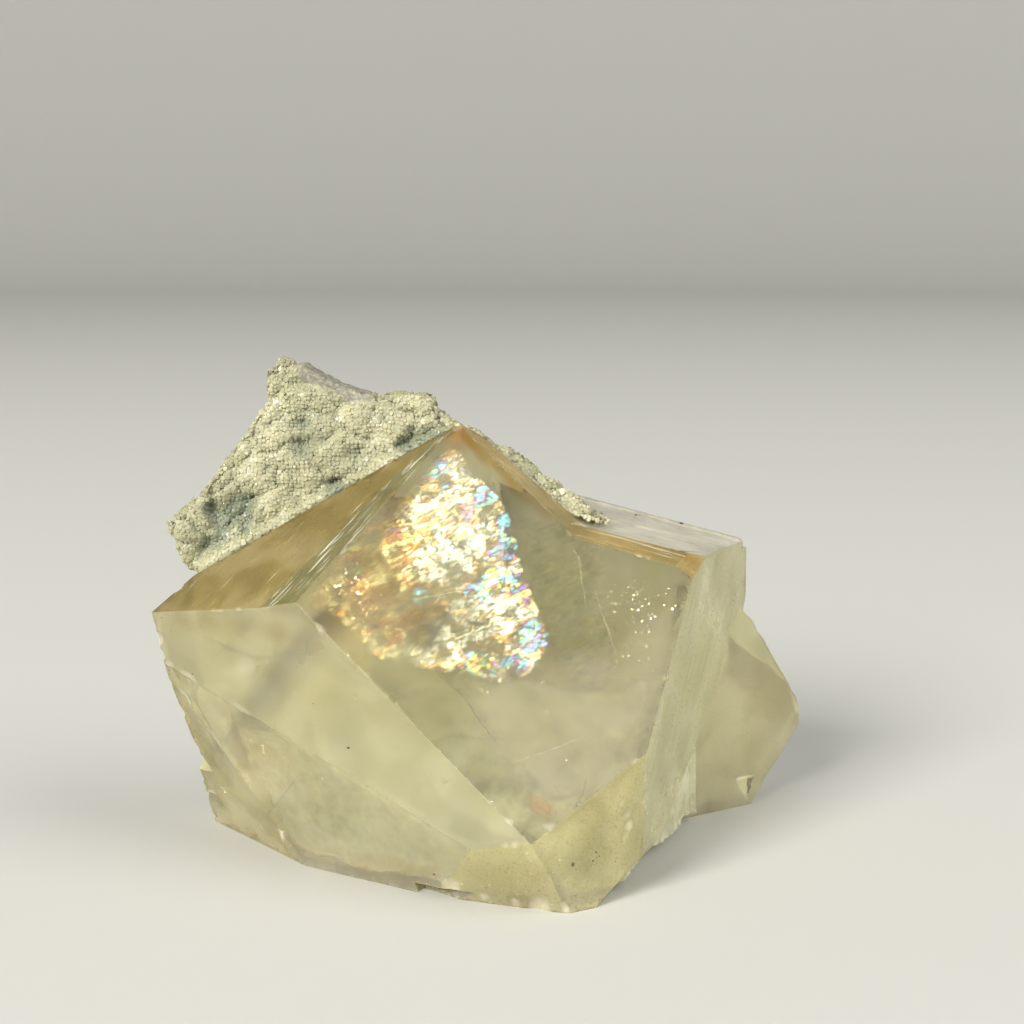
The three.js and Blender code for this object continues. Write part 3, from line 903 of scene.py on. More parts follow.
def calciteMaterial():
    look = calciteLook
    board = Board("honeyCalcite")
    frost, clear = board.attribute("frost"), board.attribute("clear")
    chip, stain = board.attribute("chip"), board.attribute("stain")
    place = board.place()
    cloud = board.noise(place, look["cloudSize"], 2.0)
    grain = board.noise(place, look["grainSize"], 4.0, 0.7)
    line = board.noise(board.attribute("lineSpace", "Vector"), look["lineSize"], 3.0, 0.65)
    groove = board.times(board.attribute("lines"), board.math("SUBTRACT", line, 0.5))

    colour = board.mix(board.spread(clear, 0.94, 0.75), look["clearTint"], look["milkTint"])
    colour = board.mix(board.attribute("tone"), colour, look["stoneTint"])
    share = {name: board.math("MAXIMUM", board.attribute(name), board.attribute(name + "Patch"))
             for name in ("bloom", "umber", "shade")}
    # whitish film; on the lobe faces it is partly painted light
    colour = board.mix(share["bloom"], colour, look["filmAndLightTint"])
    colour = board.mix(board.times(stain, board.spread(cloud, 0.2, 0.8, 0.6, 1.25)),
                       colour, look["stainTint"])
    colour = board.mix(board.times(share["umber"], board.spread(cloud, 0.3, 0.7, 0.7, 1.2)),
                       colour, look["umberTint"])
    colour = board.mix(share["shade"], colour, look["shadeTint"])
    mottle = board.attribute("mottle")
    for amount, spreading, tint in ((mottle, (0.52, 0.68, 0.0, 0.75), "umberTint"),
                                    (mottle, (0.46, 0.34, 0.0, 0.7), "paleTint"),
                                    (chip, (0.35, 0.6, 0.1, 0.45), "filmAndLightTint")):
        colour = board.mix(board.times(amount, board.spread(grain, *spreading)), colour, look[tint])
    colour = board.mix(board.spread(groove, 0.01, 0.16), colour, look["grooveTint"])
    colour = board.mix(board.spread(groove, -0.06, -0.2), colour, look["paleTint"])
    rough = board.times(frost, board.spread(cloud, 0.25, 0.75, 0.75, 1.2))
    rough = board.addTimes(chip, look["chipFrost"], rough)
    onEdge = board.spread(board.attribute("edge"), 0.75, 1.0, 0.0, look["edgeFrost"])
    rough = board.math("MAXIMUM", rough, onEdge)
    passing = board.addTimes(chip, look["chipDull"], clear)
    passing = board.addTimes(board.math("ABSOLUTE", groove), look["lineDull"], passing)
    passing = board.addTimes(board.attribute("haze"), look["haze"], passing)
    passing = board.math("SUBTRACT", passing, board.attribute("milkPatch"))
    passing = board.addTimes(board.spread(cloud, 0.3, 0.7, -0.25, 0.25), board.math("SUBTRACT", 1.0, clear),
                             passing, clamp=True)
    absorb = board.add("ShaderNodeVolumeAbsorption", {"Color": look["absorbColour"],
                                                      "Density": look["absorbDensity"]})
    board.join(absorb.outputs["Volume"], board.out.inputs["Volume"])
    return board.finish({
        "Base Color": colour,
        "Roughness": rough,
        "Transmission Weight": passing,
        "IOR": look["ior"],
        "Specular Tint": look["mirrorTint"],
        "Normal": board.bump(groove, look["lineDepth"], 0.8, board.bump(grain, look["grainDepth"], 0.5)),
    })


calcite = makeCalcite()
calcite.data.materials.append(calciteMaterial())
print("calcite", len(calcite.data.polygons))


def slab(name, look, lift, seed):
    # a closed thin sheet around its middle, lifted by lift(points on it), all in mm
    outline, middle = np.array(look["outline"]), np.array(look["middle"])
    normal, spacing, thickness = facing(*look["facing"]), look["spacing"], look["thickness"]
    along = np.cross([0, 0, 1], normal)
    along /= np.linalg.norm(along)
    over = np.cross(normal, along)
    rim = []
    for a, b in zip(outline, np.roll(outline, -1, axis=0)):
        count = max(1, round(float(np.linalg.norm(b - a)) / spacing))
        rim += [a + (b - a) * step / count for step in range(count)]
    rim = np.array(rim)
    flat = np.concatenate([rim, fillFace(rim, spacing, spacing * 0.8, [], seed)])
    cells = triangulated(flat, len(rim))
    front = middle + flat @ np.stack([along, over]) + np.outer(lift(flat), normal)
    back = front - normal * thickness
    count = len(flat)
    faces = cells + [tuple(i + count for i in c[::-1]) for c in cells]
    for a in range(len(rim)):
        b = (a + 1) % len(rim)
        faces.append((b, a, a + count, b + count))
    piece = makeObject(name, np.concatenate([front, back]), faces)
    rimGap, _ = gapToOutline(flat, outline)
    for key, values in (("across", flat[:, 0]), ("rise", flat[:, 1]), ("inward", rimGap)):
        setAttribute(piece.data, key, "POINT", np.tile(values, 2))
    return piece, flat


fractureLook = {
    "middle": (-7.2, -5.7, 36.4),
    "facing": (-7, 27.5),
    # outline across and up the sheet, mm
    "outline": [(-17.4, -5.7), (-14.3, -0.9), (-10.8, 4.2), (-6.5, 8.7), (-2.9, 13.3), (-0.5, 16.8),
                (1.8, 16.6), (3.1, 14.4), (7.3, 10.3), (9.4, 6.2), (10.4, 2.0), (11.8, -2.0), (13.3, -5.4),
                (14.7, -8.6), (14.1, -11.3), (11.7, -14.1), (8.6, -15.0), (4.0, -14.2), (-0.4, -13.8),
                (-6.8, -12.9), (-11.7, -8.5)],
    "spacing": 0.26,
    "thickness": 0.05,
    "lean": 33,              # degrees that the ripples lean up from level
    "waves": (0.14, 7.0),    # height and size of the sheet's own shape, mm
    "ripples": (0.016, 0.75),
    "plates": (0.10, 3.5),
    "gap": (290.0, 75.0),    # optical depth of the crack and how much it wanders, nanometres
    # places where the crack opens wider and colours show: middle on the sheet, reach mm, extra nanometres
    "openings": [((-6.3, 5.2), 3.0, 130), ((5.9, 10.2), 2.8, 420), ((8.6, 7.0), 2.8, 360),
                 ((11.0, -2.0), 3.2, 220), ((6.6, -1.7), 3.4, 560), ((12.6, -8.7), 3.2, 480),
                 ((5.9, -12.2), 3.0, 520), ((3.0, 7.6), 2.0, 240), ((9.6, -12.4), 2.6, 300),
                 ((-1.2, 13.2), 2.8, 330), ((8.0, 3.2), 2.6, 300), ((-11.0, -1.0), 2.2, 300),
                 ((-2.0, -4.0), 2.2, 380)],
    # how much of the light it sends back: middle, reach, share added
    "shine": [((1.5, 6.0), 8.5, 0.66), ((-5.0, 4.5), 4.5, 0.36), ((8.5, -2.5), 5.0, 0.95),
              ((11.5, -9.0), 4.4, 0.9), ((-1.2, 13.0), 3.4, 0.7), ((-11.0, -1.5), 5.5, 0.5),
              ((3.5, -13.0), 4.5, 0.45), ((-3.0, 0.5), 3.5, 0.4), ((2.2, -0.8), 1.8, -0.5),
              ((-1.0, -7.0), 3.4, -0.25)],
    "baseShine": 0.42,
    "stretch": 3.6,                         # how far the pattern is drawn out along the ripples
    "rippleSize": 1.1,                      # mm
    "streakSize": 0.17,
    "patchSize": 2.2,
    "plateSize": 0.42,
    "rippleDelay": 520.0,                   # nanometres that the ripples and the plates add
    "plateDelay": 230.0,
    "rainbow": 0.92,                        # share of the light that takes the colours of the film
    "shineRange": (0.004, 0.23),            # least and most of the sheet that is mirror
    "wavelengths": (630.0, 530.0, 450.0),   # red, green and blue, nanometres
    "white": (0.93, 0.97, 1.0, 1),
    "gold": (1.0, 0.86, 0.44, 1),
}


def leanedPoints(flat, lean, squeeze):
    # sheet points turned so that the ripples run along x, and squeezed that way
    turn = math.radians(lean)
    along = flat[:, 0] * math.cos(turn) + flat[:, 1] * math.sin(turn)
    across = flat[:, 1] * math.cos(turn) - flat[:, 0] * math.sin(turn)
    return np.stack([along * squeeze, across, np.zeros(len(flat))], axis=1)


def spots(flat, places, edge):
    # sum of soft round spots with ragged rims
    total = np.zeros(len(flat))
    ragged = smoothNoise(inSpace(flat), 1.1, 79)
    for middle, reach, amount in places:
        away = np.linalg.norm(flat - np.array(middle), axis=1) + ragged * edge * reach
        total += amount * (1 - fade(away, reach * 0.35, reach))
    return total


def makeFracture():
    look = fractureLook

    def lift(flat):
        rippled = leanedPoints(flat, look["lean"], 0.28)
        wide = leanedPoints(flat, -10, 0.6)
        waves, ripples, plates = look["waves"], look["ripples"], look["plates"]
        total = waves[0] * smoothNoise(wide, waves[1], 71)
        total += ripples[0] * cloudNoise(rippled, ripples[1], 73, 2)
        return total + plates[0] * terraces(wide, plates[1], 75, 3)

    piece, flat = slab("rainbowFracture", look, lift, 77)
    deep = inSpace(flat)
    width, wander = look["gap"]
    gap = width + wander * cloudNoise(deep, 2.6, 83, 3) * 2 + spots(flat, look["openings"], 0.35)
    shine = np.clip(look["baseShine"] + spots(flat, look["shine"], 0.25), 0.05, 1)
    setAttribute(piece.data, "gap", "POINT", np.tile(gap, 2))
    setAttribute(piece.data, "shine", "POINT", np.tile(shine, 2))
    return piece


def filmColour(board, delay):
    # light sent back by a thin gap: for each colour, sin squared of pi * delay / wavelength
    channels = []
    for wavelength in fractureLook["wavelengths"]:
        wave = board.math("SINE", board.times(delay, math.pi / wavelength))
        channels.append(board.addTimes(board.times(wave, wave), 1.1, 0.12))
    return board.add("ShaderNodeCombineColor", dict(enumerate(channels))).outputs[0]


def fractureMaterial():
    look = fractureLook
    board = Board("rainbowCrack")
    plane, lean = board.stretched(look["lean"], look["stretch"])
    ripple = board.noise(lean, look["rippleSize"], 3.0, 0.6)
    streak = board.noise(lean, look["streakSize"], 3.0, 0.65)
    patch = board.noise(plane, look["patchSize"], 3.0, 0.6)
    plate, split = board.cells(lean, look["plateSize"])
    delay = board.addTimes(board.math("SUBTRACT", ripple, 0.5), look["rippleDelay"], board.attribute("gap"))
    delay = board.addTimes(board.math("SUBTRACT", plate, 0.5), look["plateDelay"], delay)
    rainbow = board.mix(look["rainbow"], look["white"], filmColour(board, delay))
    share = board.spread(board.addTimes(patch, 2.4, board.attribute("inward")), 1.0, 2.0)
    share = board.times(board.attribute("shine"), share)
    for value, low, high, toLow, toHigh in ((streak, 0.38, 0.60, 0.3, 1.45), (patch, 0.36, 0.58, 0.3, 1.3),
                                            (plate, 0.1, 0.9, 0.55, 1.3), (split, 0.02, 0.10, 0.35, 1.0)):
        share = board.times(share, board.spread(value, low, high, toLow, toHigh))
    return board.finish({
        "Base Color": board.mix(board.spread(board.attribute("across"), 4.0, -9.0, 0.1, 0.85), rainbow,
                                look["gold"], "MULTIPLY"),
        "Metallic": 1.0,
        "Roughness": board.spread(plate, 0.0, 1.0, 0.14, 0.34),
        "Normal": board.bump(streak, 0.008, 0.5),
    }, board.spread(share, 0.0, 1.2, *look["shineRange"]))


# Thin cloudy sheets inside the crystal: the outline in mm around the middle, the least and most of
# the sheet that is dust, the size of its streaks, how softly it ends, and how its streaks lean.
veilLook = {"facing": windowWay, "spacing": 0.9, "thickness": 0.06, "stretch": 2.6, "waves": (0.5, 6.0)}
veils = {
    "brownVeil": {
        "middle": (-16.1, -6.9, 33.7),
        "outline": [(-6.0, 0.9), (-0.7, 7.7), (3.7, 15.6), (11.4, 20.4), (9.8, 15.8), (8.2, 9.9), (9.7, 2.6),
                    (10.1, -3.0), (7.2, -8.5), (2.2, -8.4), (-2.7, -4.8)],
        "tint": (0.60, 0.40, 0.13, 1), "share": (0.1, 0.5), "grain": 3.0, "soft": 3.5, "lean": 30},
    "shadeVeil": {
        "middle": (7.5, -9.0, 25.6),
        "outline": [(-3.5, 19.0), (1.5, 19.0), (6.6, 14.5), (7.7, 9.3), (8.1, 2.7), (5.2, -5.3), (0.2, -4.8),
                    (-1.2, 2.1), (-2.6, 9.2)],
        "tint": (0.42, 0.41, 0.22, 1), "share": (0.0, 0.5), "grain": 1.7, "soft": 3.0, "lean": 24},
    "paleVeil": {
        "middle": (7.8, -11.4, 27.4),
        "outline": [(-15.8, -2.2), (-12.4, -5.9), (-8.4, -12.5), (-3.1, -19.7), (2.5, -18.7), (9.8, -9.1),
                    (11.3, -3.1), (8.0, -5.0), (0.9, -5.5), (-3.4, -4.0), (-9.8, -1.9)],
        "tint": (0.90, 0.87, 0.58, 1), "share": (0.14, 0.3), "grain": 5.0, "soft": 1.4, "lean": -50},
    "peachVeil": {
        "middle": (4.5, -25.8, 11.8), "spacing": 0.5, "thickness": 0.05,
        "outline": [(-1.6, 3.0), (0.5, 2.0), (2.4, 0.6), (3.2, -1.8), (1.4, -1.6), (-0.4, -0.4)],
        "tint": (0.78, 0.48, 0.22, 1), "share": (0.4, 0.7), "grain": 2.4, "soft": 1.2, "lean": -40},
}


def veilMaterial(name, look):
    board = Board(name)
    _, lean = board.stretched(look["lean"], look["stretch"])
    streak = board.noise(lean, look["grain"], 2.5, 0.5)
    edge = board.spread(board.addTimes(streak, look["soft"], board.attribute("inward")),
                        look["soft"] * 0.4, look["soft"] * 1.3 + 0.1)
    return board.finish({
        "Base Color": look["tint"],
        "Roughness": board.spread(streak, 0.3, 0.7, 0.6, 0.9),
        "Specular IOR Level": 0.0,
    }, board.times(edge, board.spread(streak, 0.34, 0.66, *look["share"])))


def makeVeil(name, own, seed):
    look = {**veilLook, **own}
    height, size = look["waves"]

    def lift(flat):
        return height * cloudNoise(inSpace(flat), size, seed + 40, 2)

    piece, _ = slab(name, look, lift, seed)
    piece.data.materials.append(veilMaterial(name + "Dust", look))
    return piece


# Small bright cleavage flakes: middle and reach of the cluster, how many, the range of their length
# and width in mm, and the way they face.
flakeClusters = [
    ((-28.9, -10.2, 15.6), 2.0, 34, (0.12, 0.5), (0.06, 0.2), (-22, 7)),
    ((-35.2, 2.4, 6.8), 1.0, 40, (0.12, 0.4), (0.08, 0.2), (-31, -1)),
    ((-33.4, -4.0, 10.8), 1.2, 8, (0.12, 0.35), (0.06, 0.16), (-31, -1)),
    ((-20.6, -14.2, 10.0), 3.0, 30, (0.06, 0.22), (0.04, 0.12), (-22, 7)),
    ((-14.0, -17.0, 8.4), 4.5, 18, (0.06, 0.2), (0.04, 0.12), (-22, 7)),
    ((-18.6, -9.6, 35.2), 2.6, 60, (0.12, 0.5), (0.08, 0.3), (-7, 27)),
    ((-16.0, -11.4, 32.0), 2.6, 60, (0.1, 0.45), (0.06, 0.25), (-7, 27)),
    ((-12.4, -12.4, 29.6), 2.4, 26, (0.1, 0.4), (0.05, 0.2), (-7, 28)),
    ((18.0, -8.4, 32.6), 4.4, 170, (0.1, 0.42), (0.06, 0.13), (-8, 27)),
    ((17.6, -12.0, 27.4), 4.4, 80, (0.08, 0.3), (0.06, 0.12), (-8, 27)),
    ((21.2, -11.6, 22.8), 0.8, 6, (0.4, 0.9), (0.05, 0.12), (-8, 28)),
    ((4.5, -14.6, 24.0), 1.2, 10, (0.1, 0.35), (0.08, 0.2), (-7, 28)),
    ((-1.5, -15.0, 24.6), 3.0, 24, (0.1, 0.4), (0.06, 0.2), (-7, 28)),
    ((6.0, -19.0, 18.0), 6.0, 26, (0.06, 0.2), (0.04, 0.12), (-7, 28)),
    ((8.0, -24.4, 6.0), 5.0, 70, (0.05, 0.2), (0.04, 0.14), (7, 13)),
    ((35.6, 15.6, 8.8), 0.8, 6, (0.3, 0.7), (0.12, 0.3), (7, 8)),
]


flakeLook = {
    "seed": 88,
    "spread": 0.45,          # of the flakes in a cluster, as a share of its reach
    "tilt": 0.07,            # how far each turns from the way of its cluster
    "plate": [(1, 0.1), (0.35, 1), (-0.8, 0.7), (-1, -0.4), (0.3, -0.9)],   # corners, within 1 by 1
    "uneven": (0.7, 1.1),
    "thickness": 0.02,
    "warm": (1, 0.93, 0.7, 1),
    "cool": (1, 1, 0.95, 1),
}


def makeFlakes():
    # each flake is a thin five-sided plate, turned by chance within a few degrees
    look = flakeLook
    rng = np.random.default_rng(look["seed"])
    vertices, faces, gleam = [], [], []
    for middle, reach, count, lengths, widths, way in flakeClusters:
        normal = facing(*way)
        side = np.cross([0, 0, 1], normal)
        side /= np.linalg.norm(side)
        for _ in range(count):
            at = np.array(middle) + np.clip(rng.normal(0, look["spread"], 3), -1, 1) * reach
            own = normal + rng.normal(0, look["tilt"], 3)
            own /= np.linalg.norm(own)
            turn = rng.uniform(0, math.pi)
            along = math.cos(turn) * side + math.sin(turn) * np.cross(normal, side)
            along -= own * (along @ own)
            along /= np.linalg.norm(along)
            over = np.cross(own, along)
            length, width = rng.uniform(*lengths), rng.uniform(*widths)
            corners = np.array(look["plate"]) * rng.uniform(*look["uneven"], (5, 2)) * (length / 2, width / 2)
            flat = at + corners[:, :1] * along + corners[:, 1:] * over
            start = len(vertices)
            vertices += [*flat, *(flat - own * look["thickness"])]
            faces += [tuple(start + i for i in range(5)), tuple(start + 9 - i for i in range(5))]
            for i in range(5):
                a, b = start + i, start + (i + 1) % 5
                faces.append((b, a, a + 5, b + 5))
            gleam += [rng.uniform(0.05, 1.0) ** 2] * 10
    piece = makeObject("cleavageFlakes", np.array(vertices), faces, smooth=False)
    setAttribute(piece.data, "gleam", "POINT", gleam)
    board = Board("flakeGlint")
    place = board.place()
    piece.data.materials.append(board.finish({
        "Base Color": board.mix(board.noise(place, 1.5), look["warm"], look["cool"]),
        "Metallic": 1.0,
        "Roughness": board.spread(board.noise(place, 0.2), 0.3, 0.7, 0.08, 0.2),
    }, board.spread(board.attribute("gleam"), 0.1, 0.9, 0.02, 0.5)))
    return piece


# Dark mineral grains on and just under the surface: middle and size, mm.
darkGrains = [
    ((-17.8, -19.6, 17.8), 0.42), ((-20.2, -18.3, 15.3), 0.26), ((-7.4, -22.9, 3.0), 0.34),
    ((-22.2, -17.2, 22.7), 0.2), ((-38.3, -8.7, 24.4), 0.24), ((-42.4, -6.5, 31.2), 0.2),
    ((9.2, -28.1, 6.0), 0.6), ((11.7, -26.6, 5.9), 0.3), ((12.1, -26.4, 6.9), 0.22),
    ((12.5, -26.1, 6.3), 0.2), ((18.9, 13.0, 41.75), 0.55), ((25.4, 14.2, 41.2), 0.5),
    ((-39.3, -8.2, 24.9), 0.16), ((-38.9, -8.3, 23.6), 0.16), ((-29.1, -1.4, 47.3), 0.3),
]

# Finer grains scattered over a face: its kind, how many, the largest, mm, and the share of pale ones.
grainSprinkle = [
    ("striated", 150, 0.13, 0.25), ("toe", 190, 0.14, 0.7), ("pale", 16, 0.1, 0.0),
    ("toeFront", 90, 0.16, 0.85), ("lower", 60, 0.1, 0.7), ("lobe", 30, 0.1, 0.6),
]

grainLook = {
    "seed": 92,
    "snap": 2.5,             # mm, grains listed nearer than this to the crystal sit on it
    "squash": (0.6, 1.1),
    "uneven": (0.75, 1.15),
    "black": (0.012, 0.012, 0.008, 1),
    "brown": (0.10, 0.075, 0.03, 1),
    "pale": (0.93, 0.91, 0.78, 1),
}


def makeGrains():
    # the listed grains, and finer ones at random over the faces that have them
    look = grainLook
    rng = np.random.default_rng(look["seed"])
    surface = bmesh.new()
    surface.from_mesh(calcite.data)
    nearest = BVHTree.FromBMesh(surface).find_nearest
    surface.free()
    grains = []
    for middle, size in darkGrains:
        spot = np.array(nearest(Vector(middle) * mm)[0]) / mm
        onCalcite = np.linalg.norm(spot - np.array(middle)) < look["snap"]
        grains.append((spot if onCalcite else np.array(middle), size, 0.0))
    mesh = calcite.data
    centres = np.array([p.center[:] for p in mesh.polygons]) / mm
    names = list(crystalFaces)
    kinds = np.array([names.index(kindOf(np.array(p.normal))) for p in mesh.polygons])
    for kind, count, largest, paleShare in grainSprinkle:
        here = centres[kinds == names.index(kind)]
        for spot in here[rng.integers(0, len(here), count)]:
            grains.append((spot, rng.uniform(0.4, 1.0) * largest, float(rng.uniform() < paleShare)))
    ball = bmesh.new()
    bmesh.ops.create_icosphere(ball, subdivisions=1, radius=0.5)
    shape, shapeFaces = takeApart(ball)
    vertices, faces, pale = [], [], []
    for middle, size, paleness in grains:
        squashed = shape * rng.uniform(*look["squash"], 3) * rng.uniform(*look["uneven"], (len(shape), 1))
        faces += [tuple(i + len(vertices) for i in f) for f in shapeFaces]
        vertices += list(middle + squashed * size)
        pale += [paleness] * len(shape)
    piece = makeObject("darkGrains", np.array(vertices), faces, smooth=False)
    setAttribute(piece.data, "pale", "POINT", pale)
    board = Board("darkMineral")
    cloud = board.noise(board.place(), 0.4, 2.0)
    dark = board.mix(board.spread(cloud, 0.35, 0.65), look["black"], look["brown"])
    piece.data.materials.append(board.finish({
        "Base Color": board.mix(board.attribute("pale"), dark, look["pale"]),
        "Roughness": board.spread(cloud, 0.3, 0.7, 0.3, 0.6),
    }))
    return piece


# Hairline cracks and growth lines: points in mm, width mm, and how pale it is.
hairlines = [
    ([(8.6, -4.0, 40.5), (10.4, -5.8, 38.2), (10.7, -7.7, 35.3), (11.2, -9.6, 32.1)], 0.16, 1.0),
    ([(12.0, -5.9, 34.5), (13.0, -8.0, 31.5), (14.0, -9.9, 28.8), (14.8, -11.4, 26.6)], 0.14, 0.9),
    ([(2.5, -22.7, 16.5), (6.6, -21.3, 17.6), (10.5, -20.0, 18.8)], 0.12, 0.8),
    ([(10.9, -22.9, 14.7), (10.3, -24.3, 13.0), (8.6, -25.9, 11.0)], 0.12, 0.1),
    ([(-7.7, -15.7, 26.0), (-4.0, -17.5, 23.0), (-1.8, -19.3, 20.2), (0.4, -20.8, 17.7)], 0.14, 0.2),
    ([(-12.4, -12.8, 34.1), (-6.8, -11.6, 34.8), (-3.3, -10.7, 35.4)], 0.08, 1.0),
    ([(-23.9, -13.4, 13.1), (-27.2, -9.6, 8.4), (-31.6, 0.4, 1.6)], 0.14, 0.1),
    ([(-36.7, -8.3, 28.9), (-33.1, -10.2, 28.2), (-29.0, -12.3, 27.2), (-23.9, -15.0, 28.8)], 0.30, 0.3),
    ([(-35.4, -8.5, 27.7), (-30.6, -11.1, 27.6), (-25.2, -13.9, 29.1)], 0.20, 0.4),
    ([(18.8, -4.9, 40.2), (22.7, -4.5, 39.5), (26.1, -1.4, 38.8)], 0.14, 0.0),
    ([(19.6, -15.9, 24.2), (20.8, -12.7, 22.9), (21.8, -10.1, 21.5)], 0.20, 1.0),
]


hairlineLook = {
    "seed": 95,
    "steps": 8,              # between two listed points
    "waver": 0.035,          # mm
    "taper": 0.08,           # radians, how blunt the ends are
    "thickness": 0.02,
    "dark": (0.10, 0.095, 0.05, 1),
    "pale": (0.95, 0.92, 0.72, 1),
}


def makeHairlines():
    # narrow flat ribbons, closed, that look the way the window does
    look = hairlineLook
    rng = np.random.default_rng(look["seed"])
    depth = facing(*windowWay) * look["thickness"]
    vertices, faces, pale = [], [], []
    for points, width, paleness in hairlines:
        points = np.array(points)
        marks = np.linspace(0, len(points) - 1, look["steps"] * (len(points) - 1) + 1)
        path = np.stack([np.interp(marks, np.arange(len(points)), points[:, k]) for k in range(3)], axis=1)
        path += rng.normal(0, look["waver"], path.shape)
        over = np.cross(facing(*windowWay), np.gradient(path, axis=0))
        over /= np.linalg.norm(over, axis=1)[:, None]
        ends = np.linspace(look["taper"], math.pi - look["taper"], len(path))
        half = over * (np.sin(ends) * width / 2)[:, None]
        start = len(vertices)
        for i, (p, o) in enumerate(zip(path, half)):
            vertices += [p + o, p - o, p - o - depth, p + o - depth]
            if i:
                a, b = start + 4 * (i - 1), start + 4 * i
                faces += [(a + k, a + (k + 1) % 4, b + (k + 1) % 4, b + k) for k in range(4)]
        faces += [(start, start + 3, start + 2, start + 1)]
        last = start + 4 * (len(path) - 1)
        faces += [(last, last + 1, last + 2, last + 3)]
        pale += [paleness] * (4 * len(path))
    piece = makeObject("hairlineCracks", np.array(vertices), faces, smooth=False)
    fixed = bmesh.new()
    fixed.from_mesh(piece.data)
    bmesh.ops.recalc_face_normals(fixed, faces=fixed.faces[:])
    fixed.to_mesh(piece.data)
    fixed.free()
    setAttribute(piece.data, "pale", "POINT", pale)
    board = Board("crackLine")
    cloud = board.noise(board.place(), 0.8, 2.0)
    piece.data.materials.append(board.finish({
        "Base Color": board.mix(board.attribute("pale"), look["dark"], look["pale"]),
        "Roughness": board.spread(cloud, 0.3, 0.7, 0.3, 0.6),
    }, board.spread(cloud, 0.3, 0.7, 0.25, 0.85)))
    return piece


coreLook = {
    # planes that bound the milky heart: way it faces, and a point on it, mm
    "sides": [((-28, 0), (-20.0, -16.0, 20.0)), ((-34, -15), (-20.0, -15.0, 12.0)),
              ((32, -2), (10.0, -24.6, 8.0)), ((68, -2), (17.5, -18.0, 18.0)),
              (windowWay, (0.0, -16.5, 22.0)), ((0, -90), (0, 0, 0.8)), ((-168, 9), (-6.0, -1.5, 20.0)),
              ((-53, -26), (-33.0, 0.0, 10.0)), ((0, 90), (0, 0, 31.0)), ((-90, 0), (-35.0, 0, 0)),
              ((-21, -25), (2.0, -23.5, 4.5))],
    "block": 140.0,          # mm, side of the block that they cut down
    "longest": 1.68,         # mm, edges longer than this are divided
    "rounds": 7,
    "lumps": 0.9,
    "tint": (0.93, 0.90, 0.62, 1),
    "shade": (0.86, 0.87, 0.62, 1),
    "density": (0.3, 0.7),
    "fadeTop": (16.0, 29.0),     # heights between which it thins out, mm, with up to cloudLift added
    "cloudLift": 8.0,
    "cloudSize": 5.0,
}


def makeCore():
    # a block cut down by planes, then divided finely and made lumpy
    look = coreLook
    core = bmesh.new()
    bmesh.ops.create_cube(core, size=look["block"])
    for way, point in look["sides"]:
        bmesh.ops.bisect_plane(core, geom=core.verts[:] + core.edges[:] + core.faces[:], plane_co=point,
                               plane_no=facing(*way), clear_outer=True)
        bmesh.ops.holes_fill(core, edges=[e for e in core.edges if e.is_boundary])
    bmesh.ops.triangulate(core, faces=core.faces[:])
    for _ in range(look["rounds"]):
        tooLong = [e for e in core.edges if e.calc_length() > look["longest"]]
        if not tooLong:
            break
        bmesh.ops.subdivide_edges(core, edges=tooLong, cuts=1)
        bmesh.ops.triangulate(core, faces=core.faces[:])
    bmesh.ops.recalc_face_normals(core, faces=core.faces[:])
    core.normal_update()
    normals = np.array([v.normal[:] for v in core.verts])
    points, faces = takeApart(core)
    points += normals * (look["lumps"] * (cloudNoise(points, 5.0, 81, 3) - 1))[:, None]
    return makeObject("milkyHeart", points, faces)


def coreMaterial():
    look = coreLook
    board = Board("milkCloud")
    place = board.place()
    height = board.add("ShaderNodeSeparateXYZ", {0: place}).outputs[2]
    cloud = board.noise(place, look["cloudSize"], 4.0, 0.6)
    low, high = look["fadeTop"]
    top = board.spread(board.addTimes(cloud, look["cloudLift"], height), high, low)
    return board.finish({
        "Base Color": board.mix(cloud, look["tint"], look["shade"]),
        "Roughness": 0.9,
        "Specular IOR Level": 0.0,
    }, board.times(board.spread(cloud, 0.3, 0.7, *look["density"]), top))


fracture = makeFracture()
fracture.data.materials.append(fractureMaterial())
heart = makeCore()
heart.data.materials.append(coreMaterial())
sealedPieces = [fracture, heart, makeFlakes(), makeGrains(), makeHairlines()]
sealedPieces += [makeVeil(name, own, 101 + number) for number, (name, own) in enumerate(veils.items())]
for sealed in sealedPieces:
    print("sealed", sealed.name, len(sealed.data.polygons))


